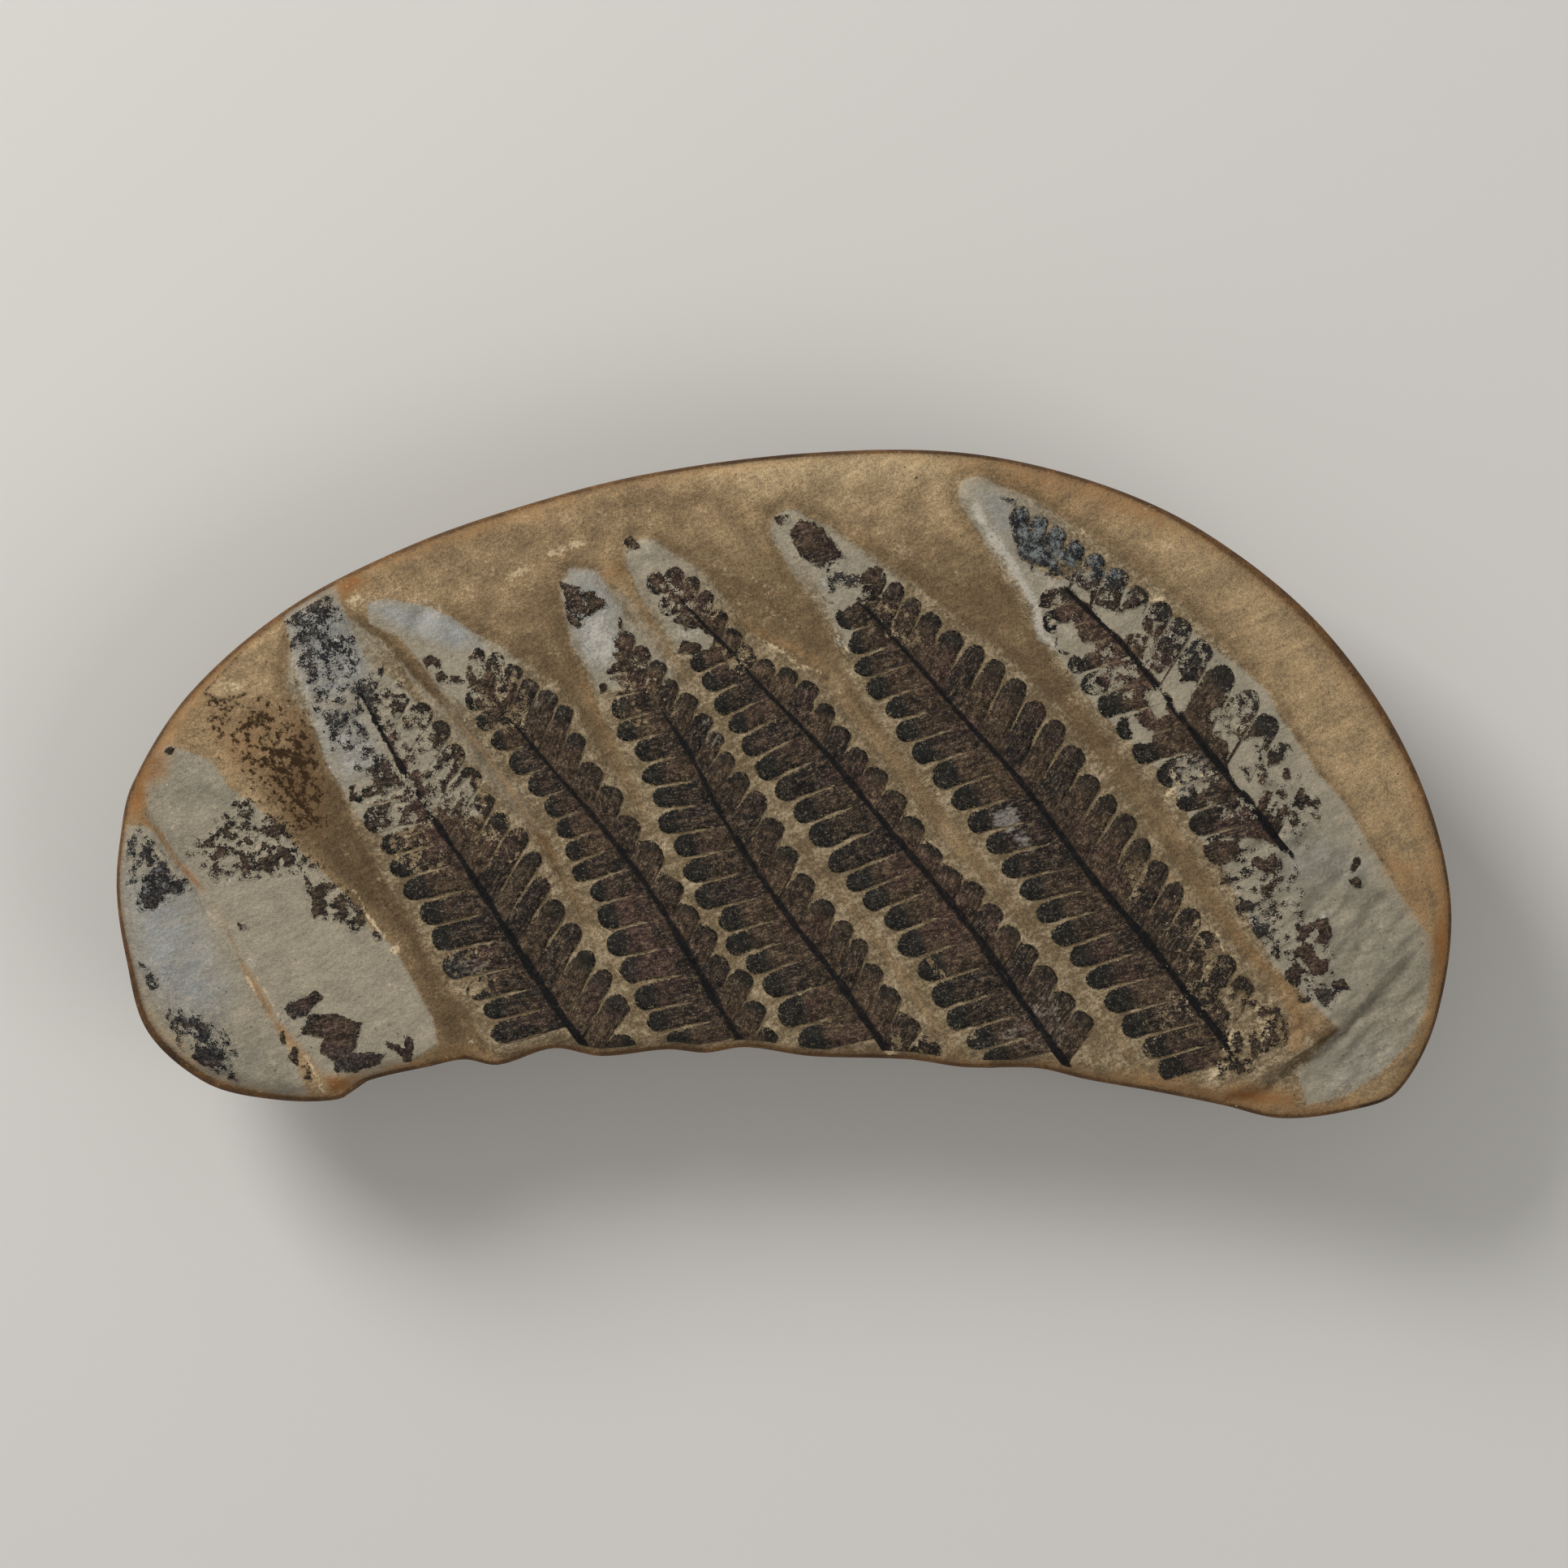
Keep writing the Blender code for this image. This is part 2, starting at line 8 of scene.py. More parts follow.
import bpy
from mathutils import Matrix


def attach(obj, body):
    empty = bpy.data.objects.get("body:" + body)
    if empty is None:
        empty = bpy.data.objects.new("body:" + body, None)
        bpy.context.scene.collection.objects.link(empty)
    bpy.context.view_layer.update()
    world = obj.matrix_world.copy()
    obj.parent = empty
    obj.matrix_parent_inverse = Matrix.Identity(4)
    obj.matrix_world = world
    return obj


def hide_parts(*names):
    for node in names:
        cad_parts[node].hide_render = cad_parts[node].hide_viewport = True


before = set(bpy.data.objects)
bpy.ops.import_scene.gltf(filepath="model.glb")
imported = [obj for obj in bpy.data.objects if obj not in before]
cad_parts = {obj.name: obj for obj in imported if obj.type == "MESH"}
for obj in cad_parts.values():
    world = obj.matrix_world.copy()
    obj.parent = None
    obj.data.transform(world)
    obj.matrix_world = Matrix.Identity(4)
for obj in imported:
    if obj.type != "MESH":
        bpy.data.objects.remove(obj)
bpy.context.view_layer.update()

# %% Blender's modules
import math

import bmesh
import bpy
import numpy as np
from mathutils import Vector, noise
from mathutils.geometry import delaunay_2d_cdt

# %% [markdown]
# Everything is laid out in millimetres and scaled once, when a mesh is made. Some shapes were
# read off the photograph: their points are kept in its pixels, and one scale turns them into
# millimetres from the stone's middle.

# %% Units
MM = 0.001
LENGTH = 120.0
FACE_LEVEL = 17.0
SHOULDER_DROP = 1.7
LENGTH_IN_PHOTO = 1647.0
MIDDLE_IN_PHOTO = np.array((966.5, 965.5))


def from_photo(points):
    """Millimetres from the stone's middle, for points given in the photograph's pixels."""
    away = (np.array(points, dtype=float) - MIDDLE_IN_PHOTO) * LENGTH / LENGTH_IN_PHOTO
    return away * (1, -1)


print("a photograph's pixel is", round(LENGTH / LENGTH_IN_PHOTO, 4), "mm")

# %% [markdown]
# The silhouette is a round upper side and a chipped lower side. A curve through a few points
# keeps the outline smooth.

# %% The silhouette's points, in millimetres
ROUND_EDGE = [
    (-60.0, -9.8), (-59.7, -5.0), (-58.6, 0.0), (-53.5, 8.1), (-44.6, 15.8), (-34.0, 21.3), (-23.9, 24.9),
    (-12.3, 27.9), (2.4, 29.8), (16.3, 29.8), (28.3, 27.1), (38.2, 22.5), (48.5, 14.1), (56.3, 2.6),
    (60.0, -9.8), (58.9, -20.7), (55.3, -27.7), (51.0, -29.4), (44.8, -30.1),
]
BROKEN_EDGE = [
    (39.5, -28.9), (33.5, -27.7), (27.3, -26.6), (22.9, -25.6), (16.3, -25.5), (11.3, -24.8), (2.4, -24.5),
    (-3.4, -23.7), (-7.0, -24.2), (-10.4, -23.9), (-16.4, -24.5), (-20.7, -23.8), (-25.7, -25.3),
    (-28.7, -24.8), (-31.7, -25.4), (-37.6, -26.8), (-40.1, -28.4), (-46.8, -28.3), (-52.2, -26.8),
    (-57.3, -22.2), (-59.2, -15.5),
]

# %% A smooth line through points
NO_LENGTH = 1e-6


def smooth_line(controls, step, closed=False):
    """Points about step apart on a smooth curve through the controls."""
    controls = np.array(controls, dtype=float)
    count = len(controls)
    found = []
    for i in range(count if closed else count - 1):
        ids = [(i + k) % count if closed else min(max(i + k, 0), count - 1) for k in (-1, 0, 1, 2)]
        before, start, end, after = controls[ids]
        gap, gap_before, gap_after = (max(np.hypot(*d), NO_LENGTH)
                                      for d in (end - start, start - before, after - end))
        # Tangents that allow for uneven spacing, so that the curve doesn't overshoot
        leave = (end - before) * gap / (gap + gap_before)
        arrive = (after - start) * gap / (gap + gap_after)
        steps = max(1, round(gap / step))
        for t in np.arange(steps) / steps:
            found.append(start * (2 * t**3 - 3 * t**2 + 1) + leave * (t**3 - 2 * t**2 + t)
                         + end * (3 * t**2 - 2 * t**3) + arrive * (t**3 - t**2))
    if not closed:
        found.append(controls[-1])
    return np.array(found)


EDGE_STEP = 0.6
silhouette = smooth_line(ROUND_EDGE + BROKEN_EDGE, EDGE_STEP, closed=True)
silhouette -= (silhouette.max(0) + silhouette.min(0)) / 2
print("the silhouette has", len(silhouette), "points and spans", np.ptp(silhouette, 0).round(1))

# %% [markdown]
# Nearly everything on the face is placed by how far it is from a line or an outline: the swell
# of a leaflet, a groove, a stained patch, a worn rim. Two measuring tools do that for many spots
# at once, because a loop over each spot would take minutes.

# %% Measuring from lines and outlines
def beside(line, spots):
    """For each spot: its station along a line, its offset and its distance. The offset is
    positive on the right hand of someone who walks the line."""
    station, offset = np.zeros(len(spots)), np.zeros(len(spots))
    nearest = np.full(len(spots), np.inf)
    walked = 0.0
    for start, end in zip(line[:-1], line[1:]):
        length = np.hypot(*(end - start))
        run = (end - start) / length
        rel = spots - start
        t = np.clip(rel @ run, 0.0, length)
        distance = np.hypot(*(rel - t[:, None] * run).T)
        closer = distance < nearest
        nearest[closer] = distance[closer]
        station[closer] = walked + t[closer]
        right = run[0] * rel[closer, 1] - run[1] * rel[closer, 0] < 0
        offset[closer] = np.where(right, 1, -1) * distance[closer]
        walked += length
    return station, offset, nearest


def inside_by(outline, spots):
    """How far each spot is inside a closed outline. It is below 0 outside."""
    inside = np.zeros(len(spots), dtype=bool)
    x, y = spots.T
    for (ax, ay), (bx, by) in zip(outline, np.roll(outline, -1, axis=0)):
        if ay != by:
            inside ^= ((ay > y) != (by > y)) & (x < ax + (y - ay) * (bx - ax) / (by - ay))
    nearest = beside(np.vstack((outline, outline[:1])), spots)[2]
    return np.where(inside, nearest, -nearest)


def eased(value, low, high):
    """0 up to low and 1 from high, with a smooth rise between."""
    t = np.clip((value - low) / (high - low), 0, 1)
    return t * t * (3 - 2 * t)


def uneven(spots, size, octaves=1, seed=0.0):
    """Natural unevenness between about -1 and 1, its lumps about size millimetres across."""
    return np.array([noise.fractal(Vector((x, y, seed + size)) / size, 1.0, 2.0, octaves)
                     for x, y in spots])


middle_depth = inside_by(silhouette, np.zeros((1, 2)))[0]
print("the middle is", round(middle_depth, 1), "mm inside the silhouette")

# %% [markdown]
# Outside the face, the stone's crust shows as a thin line. It is wider where the edge is worn,
# at the lower left and the upper right. So the face's own edge is the silhouette moved inwards
# by the crust's width there.

# %% The edge of the face
CRUST_WIDTH = 0.45
WORN_CRUST_WIDTH = 0.95
WORN_PLACES = [((-54, -24), 16.0), ((49, 14), 26.0)]


def outward(loop):
    """The direction straight out of a clockwise loop, at each of its points."""
    along = np.roll(loop, -1, axis=0) - np.roll(loop, 1, axis=0)
    along /= np.hypot(*along.T)[:, None]
    return np.column_stack((-along[:, 1], along[:, 0]))


def crust_width(spots):
    """How far the crust shows beyond the face, seen from above."""
    worn = np.zeros(len(spots))
    for place, reach in WORN_PLACES:
        t = np.clip(np.hypot(*(spots - place).T) / reach, 0, 1)
        worn = np.maximum(worn, (1 - t * t) ** 2)
    return CRUST_WIDTH + (WORN_CRUST_WIDTH - CRUST_WIDTH) * worn


face_edge = silhouette - outward(silhouette) * crust_width(silhouette)[:, None]
# A third of the points is enough to measure from
rough_edge = face_edge[::3]
print("the face's edge spans", np.ptp(face_edge, 0).round(1), "mm")

# %% [markdown]
# A leaflet of the frond is called a pinna. A dark stalk, its rachis, runs down the middle, with
# a row of small lobes on each side, the pinnules. Only the rachis and the pinnules' tips are
# written down. Each pinnule leans towards the leaflet's tip by its row's angle, so its base follows
# from its tip, and its width follows from its neighbours.

# %% The six leaflets that kept their film, from the tip down, in millimetres
PINNAE = {
    "third": dict(
        rachis=[(-42.6, 15.4), (-38.5, 9.0), (-35.6, 3.8), (-32.2, -1.9), (-28.3, -7.7), (-25.0, -12.9),
            (-21.6, -18.3), (-19.1, -21.9), (-16.0, -26.5)],
        left=[(-44.0, 9.3), (-42.3, 6.1), (-40.5, 3.3), (-38.9, -0.9), (-37.7, -3.5), (-36.2, -5.7),
            (-35.4, -7.7), (-34.2, -9.7), (-32.7, -11.9), (-31.6, -14.0), (-30.6, -16.6), (-28.5, -18.8),
            (-27.0, -20.4), (-26.3, -22.6)],
        right=[(-36.5, 12.0), (-33.9, 9.0), (-31.8, 7.1), (-30.3, 5.6), (-29.1, 3.5), (-27.6, 1.3),
            (-26.4, -0.9), (-25.1, -2.6), (-23.4, -4.0), (-22.0, -6.2), (-21.5, -8.3), (-20.1, -10.5),
            (-18.6, -12.6), (-17.3, -15.0), (-15.8, -16.7), (-14.6, -18.9), (-13.6, -22.8)],
    ),
    "fourth": dict(
        rachis=[(-31.0, 13.5), (-27.2, 9.0), (-23.8, 4.9), (-19.6, 0.0), (-15.8, -4.5), (-12.1, -9.4),
            (-8.7, -15.0), (-6.2, -19.3), (-3.7, -23.4), (-1.3, -27.2)],
        left=[(-30.7, 9.1), (-28.5, 7.0), (-27.6, 5.4), (-26.3, 3.6), (-24.6, 1.6), (-22.9, -0.5),
            (-21.4, -2.4), (-20.4, -4.4), (-19.6, -6.3), (-19.0, -8.2), (-17.4, -9.9), (-16.7, -12.1),
            (-15.9, -14.7), (-14.8, -16.8), (-13.4, -19.5), (-12.3, -21.5), (-10.6, -23.2)],
        right=[(-27.2, 12.2), (-25.6, 11.8), (-24.0, 10.7), (-22.6, 9.4), (-20.9, 8.4), (-19.3, 7.0),
            (-18.5, 4.6), (-17.1, 1.9), (-15.1, -0.3), (-13.7, -2.9), (-11.8, -5.1), (-9.6, -8.6),
            (-8.3, -10.9), (-6.4, -13.0), (-5.4, -15.5), (-3.4, -16.8), (-2.1, -19.6), (-1.1, -22.0)],
    ),
    "fifth": dict(
        rachis=[(-18.2, 17.0), (-14.8, 12.2), (-11.9, 7.8), (-8.6, 3.0), (-5.7, -2.6), (-2.3, -8.0),
            (1.0, -12.7), (4.0, -16.4), (7.5, -21.4), (11.0, -26.3)],
        left=[(-18.4, 13.0), (-16.9, 10.4), (-16.4, 8.4), (-15.5, 6.6), (-15.0, 4.4), (-13.4, 2.8),
            (-12.8, 0.5), (-11.8, -1.3), (-11.3, -3.6), (-9.9, -5.8), (-9.1, -8.0), (-8.0, -10.4),
            (-5.9, -12.5), (-5.2, -14.7), (-3.4, -16.4), (-1.9, -18.3), (-0.5, -21.0), (1.3, -23.3)],
        right=[(-15.0, 15.2), (-13.8, 13.6), (-12.5, 12.4), (-10.9, 11.0), (-9.9, 9.4), (-8.4, 8.1),
            (-6.8, 6.2), (-5.8, 4.6), (-4.8, 2.8), (-3.5, 1.0), (-2.1, -0.7), (-0.6, -3.2), (0.7, -5.7),
            (2.0, -8.1), (3.9, -10.4), (5.7, -12.3), (7.0, -13.9), (8.3, -16.2), (9.7, -18.2),
            (11.4, -20.9), (13.6, -23.1)],
    ),
    "sixth": dict(
        rachis=[(-12.4, 20.2), (-8.4, 15.6), (-5.2, 12.3), (-1.6, 8.3), (3.2, 3.4), (7.4, -1.6),
            (11.9, -7.0), (15.4, -11.2), (18.9, -15.9), (22.1, -20.6), (24.6, -24.2), (26.8, -27.4)],
        left=[(-12.3, 17.6), (-11.2, 15.6), (-10.2, 13.8), (-9.3, 12.1), (-8.4, 10.6), (-7.3, 8.9),
            (-6.2, 6.7), (-5.0, 5.0), (-3.7, 3.0), (-2.5, 1.0), (-0.8, -1.0), (0.9, -2.9), (2.3, -4.9),
            (4.0, -7.5), (5.6, -9.2), (7.1, -10.7), (9.0, -12.5), (10.2, -14.9), (12.0, -17.0),
            (13.3, -19.3), (14.6, -21.4), (16.4, -23.3), (17.9, -24.9)],
        right=[(-9.4, 19.4), (-7.9, 18.6), (-6.7, 17.3), (-5.6, 15.6), (-4.3, 13.9), (-3.0, 12.3),
            (-1.3, 11.2), (0.7, 10.4), (2.4, 9.2), (4.0, 7.2), (5.4, 5.1), (6.9, 3.2), (8.7, 1.4),
            (10.3, -0.7), (11.9, -3.0), (13.5, -5.6), (15.2, -7.5), (17.4, -8.9), (19.1, -10.9),
            (20.7, -12.8), (22.3, -14.5), (23.9, -16.4), (25.6, -18.8), (27.2, -20.6)],
    ),
    "seventh": dict(
        rachis=[(0.6, 22.8), (4.2, 18.8), (7.5, 15.6), (12.4, 10.2), (15.9, 6.1), (20.3, 1.3), (24.3, -3.8),
            (27.8, -8.6), (32.0, -13.4), (36.3, -19.0), (39.3, -22.8), (43.5, -27.6)],
        left=[(1.4, 19.6), (3.4, 16.8), (4.7, 14.6), (5.8, 12.1), (6.3, 10.2), (7.4, 8.3), (9.1, 6.4),
            (10.1, 4.4), (11.5, 2.6), (13.3, 0.3), (15.0, -1.8), (16.5, -3.7), (18.1, -5.6), (19.5, -7.7),
            (21.1, -9.8), (22.6, -11.8), (24.0, -13.8), (25.7, -15.9), (27.1, -17.7), (28.7, -19.7),
            (30.3, -22.0), (32.1, -24.0), (33.6, -25.8)],
        right=[(3.6, 22.4), (6.0, 20.9), (8.8, 19.1), (10.3, 18.1), (11.9, 16.6), (13.4, 15.4),
            (15.6, 13.7), (17.6, 12.4), (19.3, 11.1), (21.2, 9.4), (23.0, 7.4), (24.7, 5.7), (26.4, 3.3),
            (27.9, 0.7), (29.5, -1.0), (31.2, -2.8), (32.5, -4.9), (34.0, -7.0), (35.5, -8.8),
            (36.9, -11.2), (38.6, -13.4), (40.1, -15.4), (41.6, -17.4)],
    ),
    "eighth": dict(
        rachis=[(17.5, 25.8), (21.5, 21.6), (25.3, 17.5), (30.3, 12.6), (34.0, 8.0), (37.9, 3.1),
            (41.1, -0.9), (45.4, -6.6), (48.2, -11.0)],
        left=[(22.2, 16.4), (23.3, 14.0), (24.4, 12.2), (25.5, 10.4), (26.6, 8.6), (28.2, 6.7), (29.8, 4.7),
            (31.3, 2.6), (33.4, 0.6), (35.2, -1.9), (36.3, -3.8), (37.6, -6.2), (39.1, -8.4), (41.0, -11.2),
            (43.2, -14.6)],
        right=[(21.6, 24.9), (23.3, 24.0), (24.8, 23.1), (26.5, 21.8), (28.3, 20.7), (30.3, 19.3),
            (32.1, 17.7), (34.3, 16.3), (36.0, 14.8), (37.7, 12.9), (39.8, 10.6), (42.2, 8.4), (43.8, 6.1),
            (45.2, 3.6), (46.4, 1.0)],
    ),
}

# %% From a pinnule's tip to its base
LEANS = {
    # how far the left row and the right row lean, in degrees
    "third": (18, 25), "fourth": (18, 28), "fifth": (18, 29), "sixth": (17, 21),
    "seventh": (22, 20), "eighth": (20, 20),
}
RACHIS_STEP = 1.5


def at_station(line, station):
    """The point at a station along a line. It goes on past the line's end."""
    for start, end in zip(line[:-1], line[1:]):
        length = np.hypot(*(end - start))
        if station <= length or end is line[-1]:
            break
        station -= length
    return start + (end - start) * station / length


def bases_of(line, tips, lean):
    """Where each pinnule leaves the rachis, further down than its tip."""
    station, _, distance = beside(line, tips)
    return np.array([at_station(line, s + d * math.tan(lean)) for s, d in zip(station, distance)])


leaflets = {}
for name, pinna in PINNAE.items():
    line = smooth_line(pinna["rachis"], RACHIS_STEP)
    rows = [np.array(pinna[side], dtype=float) for side in ("left", "right")]
    leaflets[name] = {"line": line, "rows": [(bases_of(line, tips, math.radians(lean)), tips)
                                             for tips, lean in zip(rows, LEANS[name])]}
    print(name, "leaflet:", sum(len(tips) for tips in rows), "pinnules")

# %% [markdown]
# Each leaflet lies on a low swell with a narrow groove round it. Two leaflets at the left end
# and the foot of the last one lost their film and are bare swells. The height of the face is
# one function of the place, so the stone and the films agree to a hair.

# %% Swells and grooves
SWELL = 0.75
SWELL_FLATNESS = 3
SWELL_ROUNDNESS = 0.75
SWELL_MARGIN = 0.9
SWELL_TIP = 1.0
EVENED = (0.25, 0.5, 0.25)
GROOVE_DEPTH = 0.25
GROOVE_WIDTH = 0.9
GROOVE_OUT = 0.6
BARE_SWELLS = [
    [(-58.5, -3.0, 1.5), (-56.5, -9.0, 2.9), (-53.5, -16.0, 4.2), (-48.0, -24.0, 5.6), (-44.5, -28.0, 6.2)],
    [(-55.0, 3.0, 1.6), (-50.5, -2.5, 4.4), (-45.5, -9.5, 6.6), (-40.0, -17.0, 7.2), (-34.5, -24.0, 7.4)],
    [(43.0, 4.0, 6.0), (47.5, -3.0, 7.2), (50.5, -12.0, 7.8), (50.5, -21.0, 7.6)],
]


def bands():
    """Each swell's middle line, and its half width by station on the right and on the left."""
    found = []
    for leaflet in leaflets.values():
        halves = []
        for _, tips in leaflet["rows"]:
            station, _, distance = beside(leaflet["line"], tips)
            distance = np.convolve(np.pad(distance, 1, mode="edge"), EVENED, "valid")
            half = np.append(SWELL_TIP, distance) + SWELL_MARGIN
            halves.append((np.append(0.0, station), half))
        found.append((leaflet["line"], *halves))
    for band in BARE_SWELLS:
        middle = np.array(band)[:, :2]
        line = smooth_line(middle, RACHIS_STEP)
        half = (beside(line, middle)[0], np.array(band)[:, 2])
        found.append((line, half, half))
    return found


BANDS = bands()


def swells(spots):
    """The height of the swells and grooves, and how far inside the nearest swell a spot is."""
    high, low = np.zeros(len(spots)), np.zeros(len(spots))
    within = np.full(len(spots), -np.inf)
    for line, right, left in BANDS:
        station, offset, _ = beside(line, spots)
        half = np.where(offset > 0, np.interp(station, *right), np.interp(station, *left))
        inside = half - np.abs(offset)
        share = np.clip(1 - np.abs(offset / half) ** SWELL_FLATNESS, 0, 1)
        high = np.maximum(high, SWELL * share**SWELL_ROUNDNESS)
        groove = np.clip(1 - np.abs(inside / GROOVE_WIDTH + GROOVE_OUT), 0, 1)
        low = np.maximum(low, GROOVE_DEPTH * groove)
        within = np.maximum(within, inside)
    return np.where(high > 0, high, -low), within


print("swells:", len(BANDS))

# %% [markdown]
# Some shapes are broken. A chip has left a bright crest beside a leaflet, and at the lower right
# the stone is split along a step, with ripples on its lower side. These are lines with a width
# and a height.

# %% Crests, the step and the ripples
LEDGE = [(51.3, -20.4), (50.1, -21.7), (47.9, -23.4), (46.2, -24.4), (44.8, -25.5),
         (42.5, -27.0), (39.7, -28.1)]
LEDGE_DROP = 0.9
LEDGE_FADE = 9.0
CREST_STEP = 1.0
CREST_NOTCHES = 0.3
NOTCHES_PER_MM = 2.6
CRESTS = [
    # the height and the half width in millimetres, and the path
    (0.45, 0.5, [(868, 758), (895, 770), (940, 790), (974, 802), (988, 820), (1016, 832)]),
    (0.35, 0.35, [(1029, 770), (1034, 786), (1046, 806)]),
    (0.3, 0.4, [(298, 1204), (320, 1232), (340, 1259)]),
    (0.3, 0.4, [(370, 1291), (392, 1318), (411, 1341)]),
    (0.25, 0.3, [(186, 1025), (220, 1061), (248, 1096), (275, 1150)]),
    (0.25, 0.35, [(1208, 640), (1240, 680), (1270, 721), (1282, 744), (1284, 790)]),
    (0.3, 0.3, [(1556, 1180), (1575, 1225), (1600, 1262)]),
    (0.3, 0.3, [(246, 852), (273, 824), (299, 794), (330, 766), (352, 750)]),
    (0.22, 0.25, [(250, 862), (270, 868), (300, 864), (318, 856)]),
]
RIPPLED = [(1480, 1060), (1560, 1000), (1700, 1060), (1765, 1160), (1760, 1290), (1720, 1350),
           (1600, 1370), (1560, 1250)]
RIPPLES_FADE = (-1.0, 2.0)
RIPPLE_SLANT = np.array(((0.71, 0.22), (-0.71, 0.22)))
RIPPLE_HEIGHT = 0.45
RIPPLE_WIDTH = 2.0
RIDGE_HEIGHT = 0.3
RIDGE_WIDTH = 1.1


def broken_shapes(spots):
    """What chips, the step and the ripples add to the height."""
    height = np.zeros(len(spots))
    for rise, half_width, path in CRESTS:
        station, _, distance = beside(smooth_line(from_photo(path), CREST_STEP), spots)
        sharp = np.clip(1 - distance / half_width, 0, 1)
        notched = 1 - CREST_NOTCHES + CREST_NOTCHES * np.sin(station * NOTCHES_PER_MM)
        height = np.maximum(height, rise * sharp * notched)
    _, offset, distance = beside(np.array(LEDGE), spots)
    height -= np.where(offset < 0, LEDGE_DROP * np.clip(1 - distance / LEDGE_FADE, 0, 1), 0)
    rippled = eased(inside_by(from_photo(RIPPLED), spots), *RIPPLES_FADE)
    slanted = spots @ RIPPLE_SLANT
    ripples = RIPPLE_HEIGHT * uneven(slanted, RIPPLE_WIDTH, 2, seed=5.0)
    ridges = RIDGE_HEIGHT * np.abs(uneven(slanted, RIDGE_WIDTH, 2, seed=6.0))
    return height + rippled * (ripples - ridges)


print("crests:", len(CRESTS), "and the step is", LEDGE_DROP, "mm deep")

# %% The height of the face
UNDULATION = 0.35
UNDULATION_SIZE = 22.0
ROUGHNESSES = [(0.1, 6.0), (0.05, 1.9)]
RIM_WIDTH = 1.3
EDGE_DROP = 0.4


def ground(spots):
    """The height of the bare stone over the face's level."""
    height = swells(spots)[0] + broken_shapes(spots)
    height += UNDULATION * np.array([noise.noise(Vector((x, y, 0)) / UNDULATION_SIZE)
                                     for x, y in spots])
    for rise, size in ROUGHNESSES:
        height += rise * uneven(spots, size, 2)
    worn = np.clip(1 - np.abs(inside_by(rough_edge, spots)) / RIM_WIDTH, 0, 1) ** 2
    return height * (1 - worn) - EDGE_DROP * worn


print("height at the middle:", ground(np.zeros((1, 2))).round(2), "mm")

# %% [markdown]
# The stone isn't one colour. Where the leaflets lost their film it is pale or grey, the wedges
# between their tips are brown, iron has rusted the rim, and dark specks stain a patch at the
# left. Each of these is a layer: outlines and lines drawn, soft or crisp. The layers are kept on
# the meshes as numbers, and the material turns them into colour.

# %% Tools for the layers
def area(softness, strength, *outline):
    """A patch that fades over softness millimetres at its outline."""
    return from_photo(outline), None, softness, strength


def trail(half_width, softness, strength, *path):
    """A streak along a path."""
    return from_photo(path), half_width, softness, strength


def washed(spots, shapes):
    """How strongly a layer's shapes cover each spot, 0 to 1. At an outline it is a half."""
    cover = np.zeros(len(spots))
    for points, half_width, softness, strength in shapes:
        near = np.all((spots > points.min(0) - softness - (half_width or 0))
                      & (spots < points.max(0) + softness + (half_width or 0)), axis=1)
        if half_width is None:
            inside = inside_by(points, spots[near])
        else:
            inside = half_width - beside(points, spots[near])[2]
        cover[near] = np.maximum(cover[near], strength * np.clip(0.5 + inside / softness, 0, 1))
    return cover


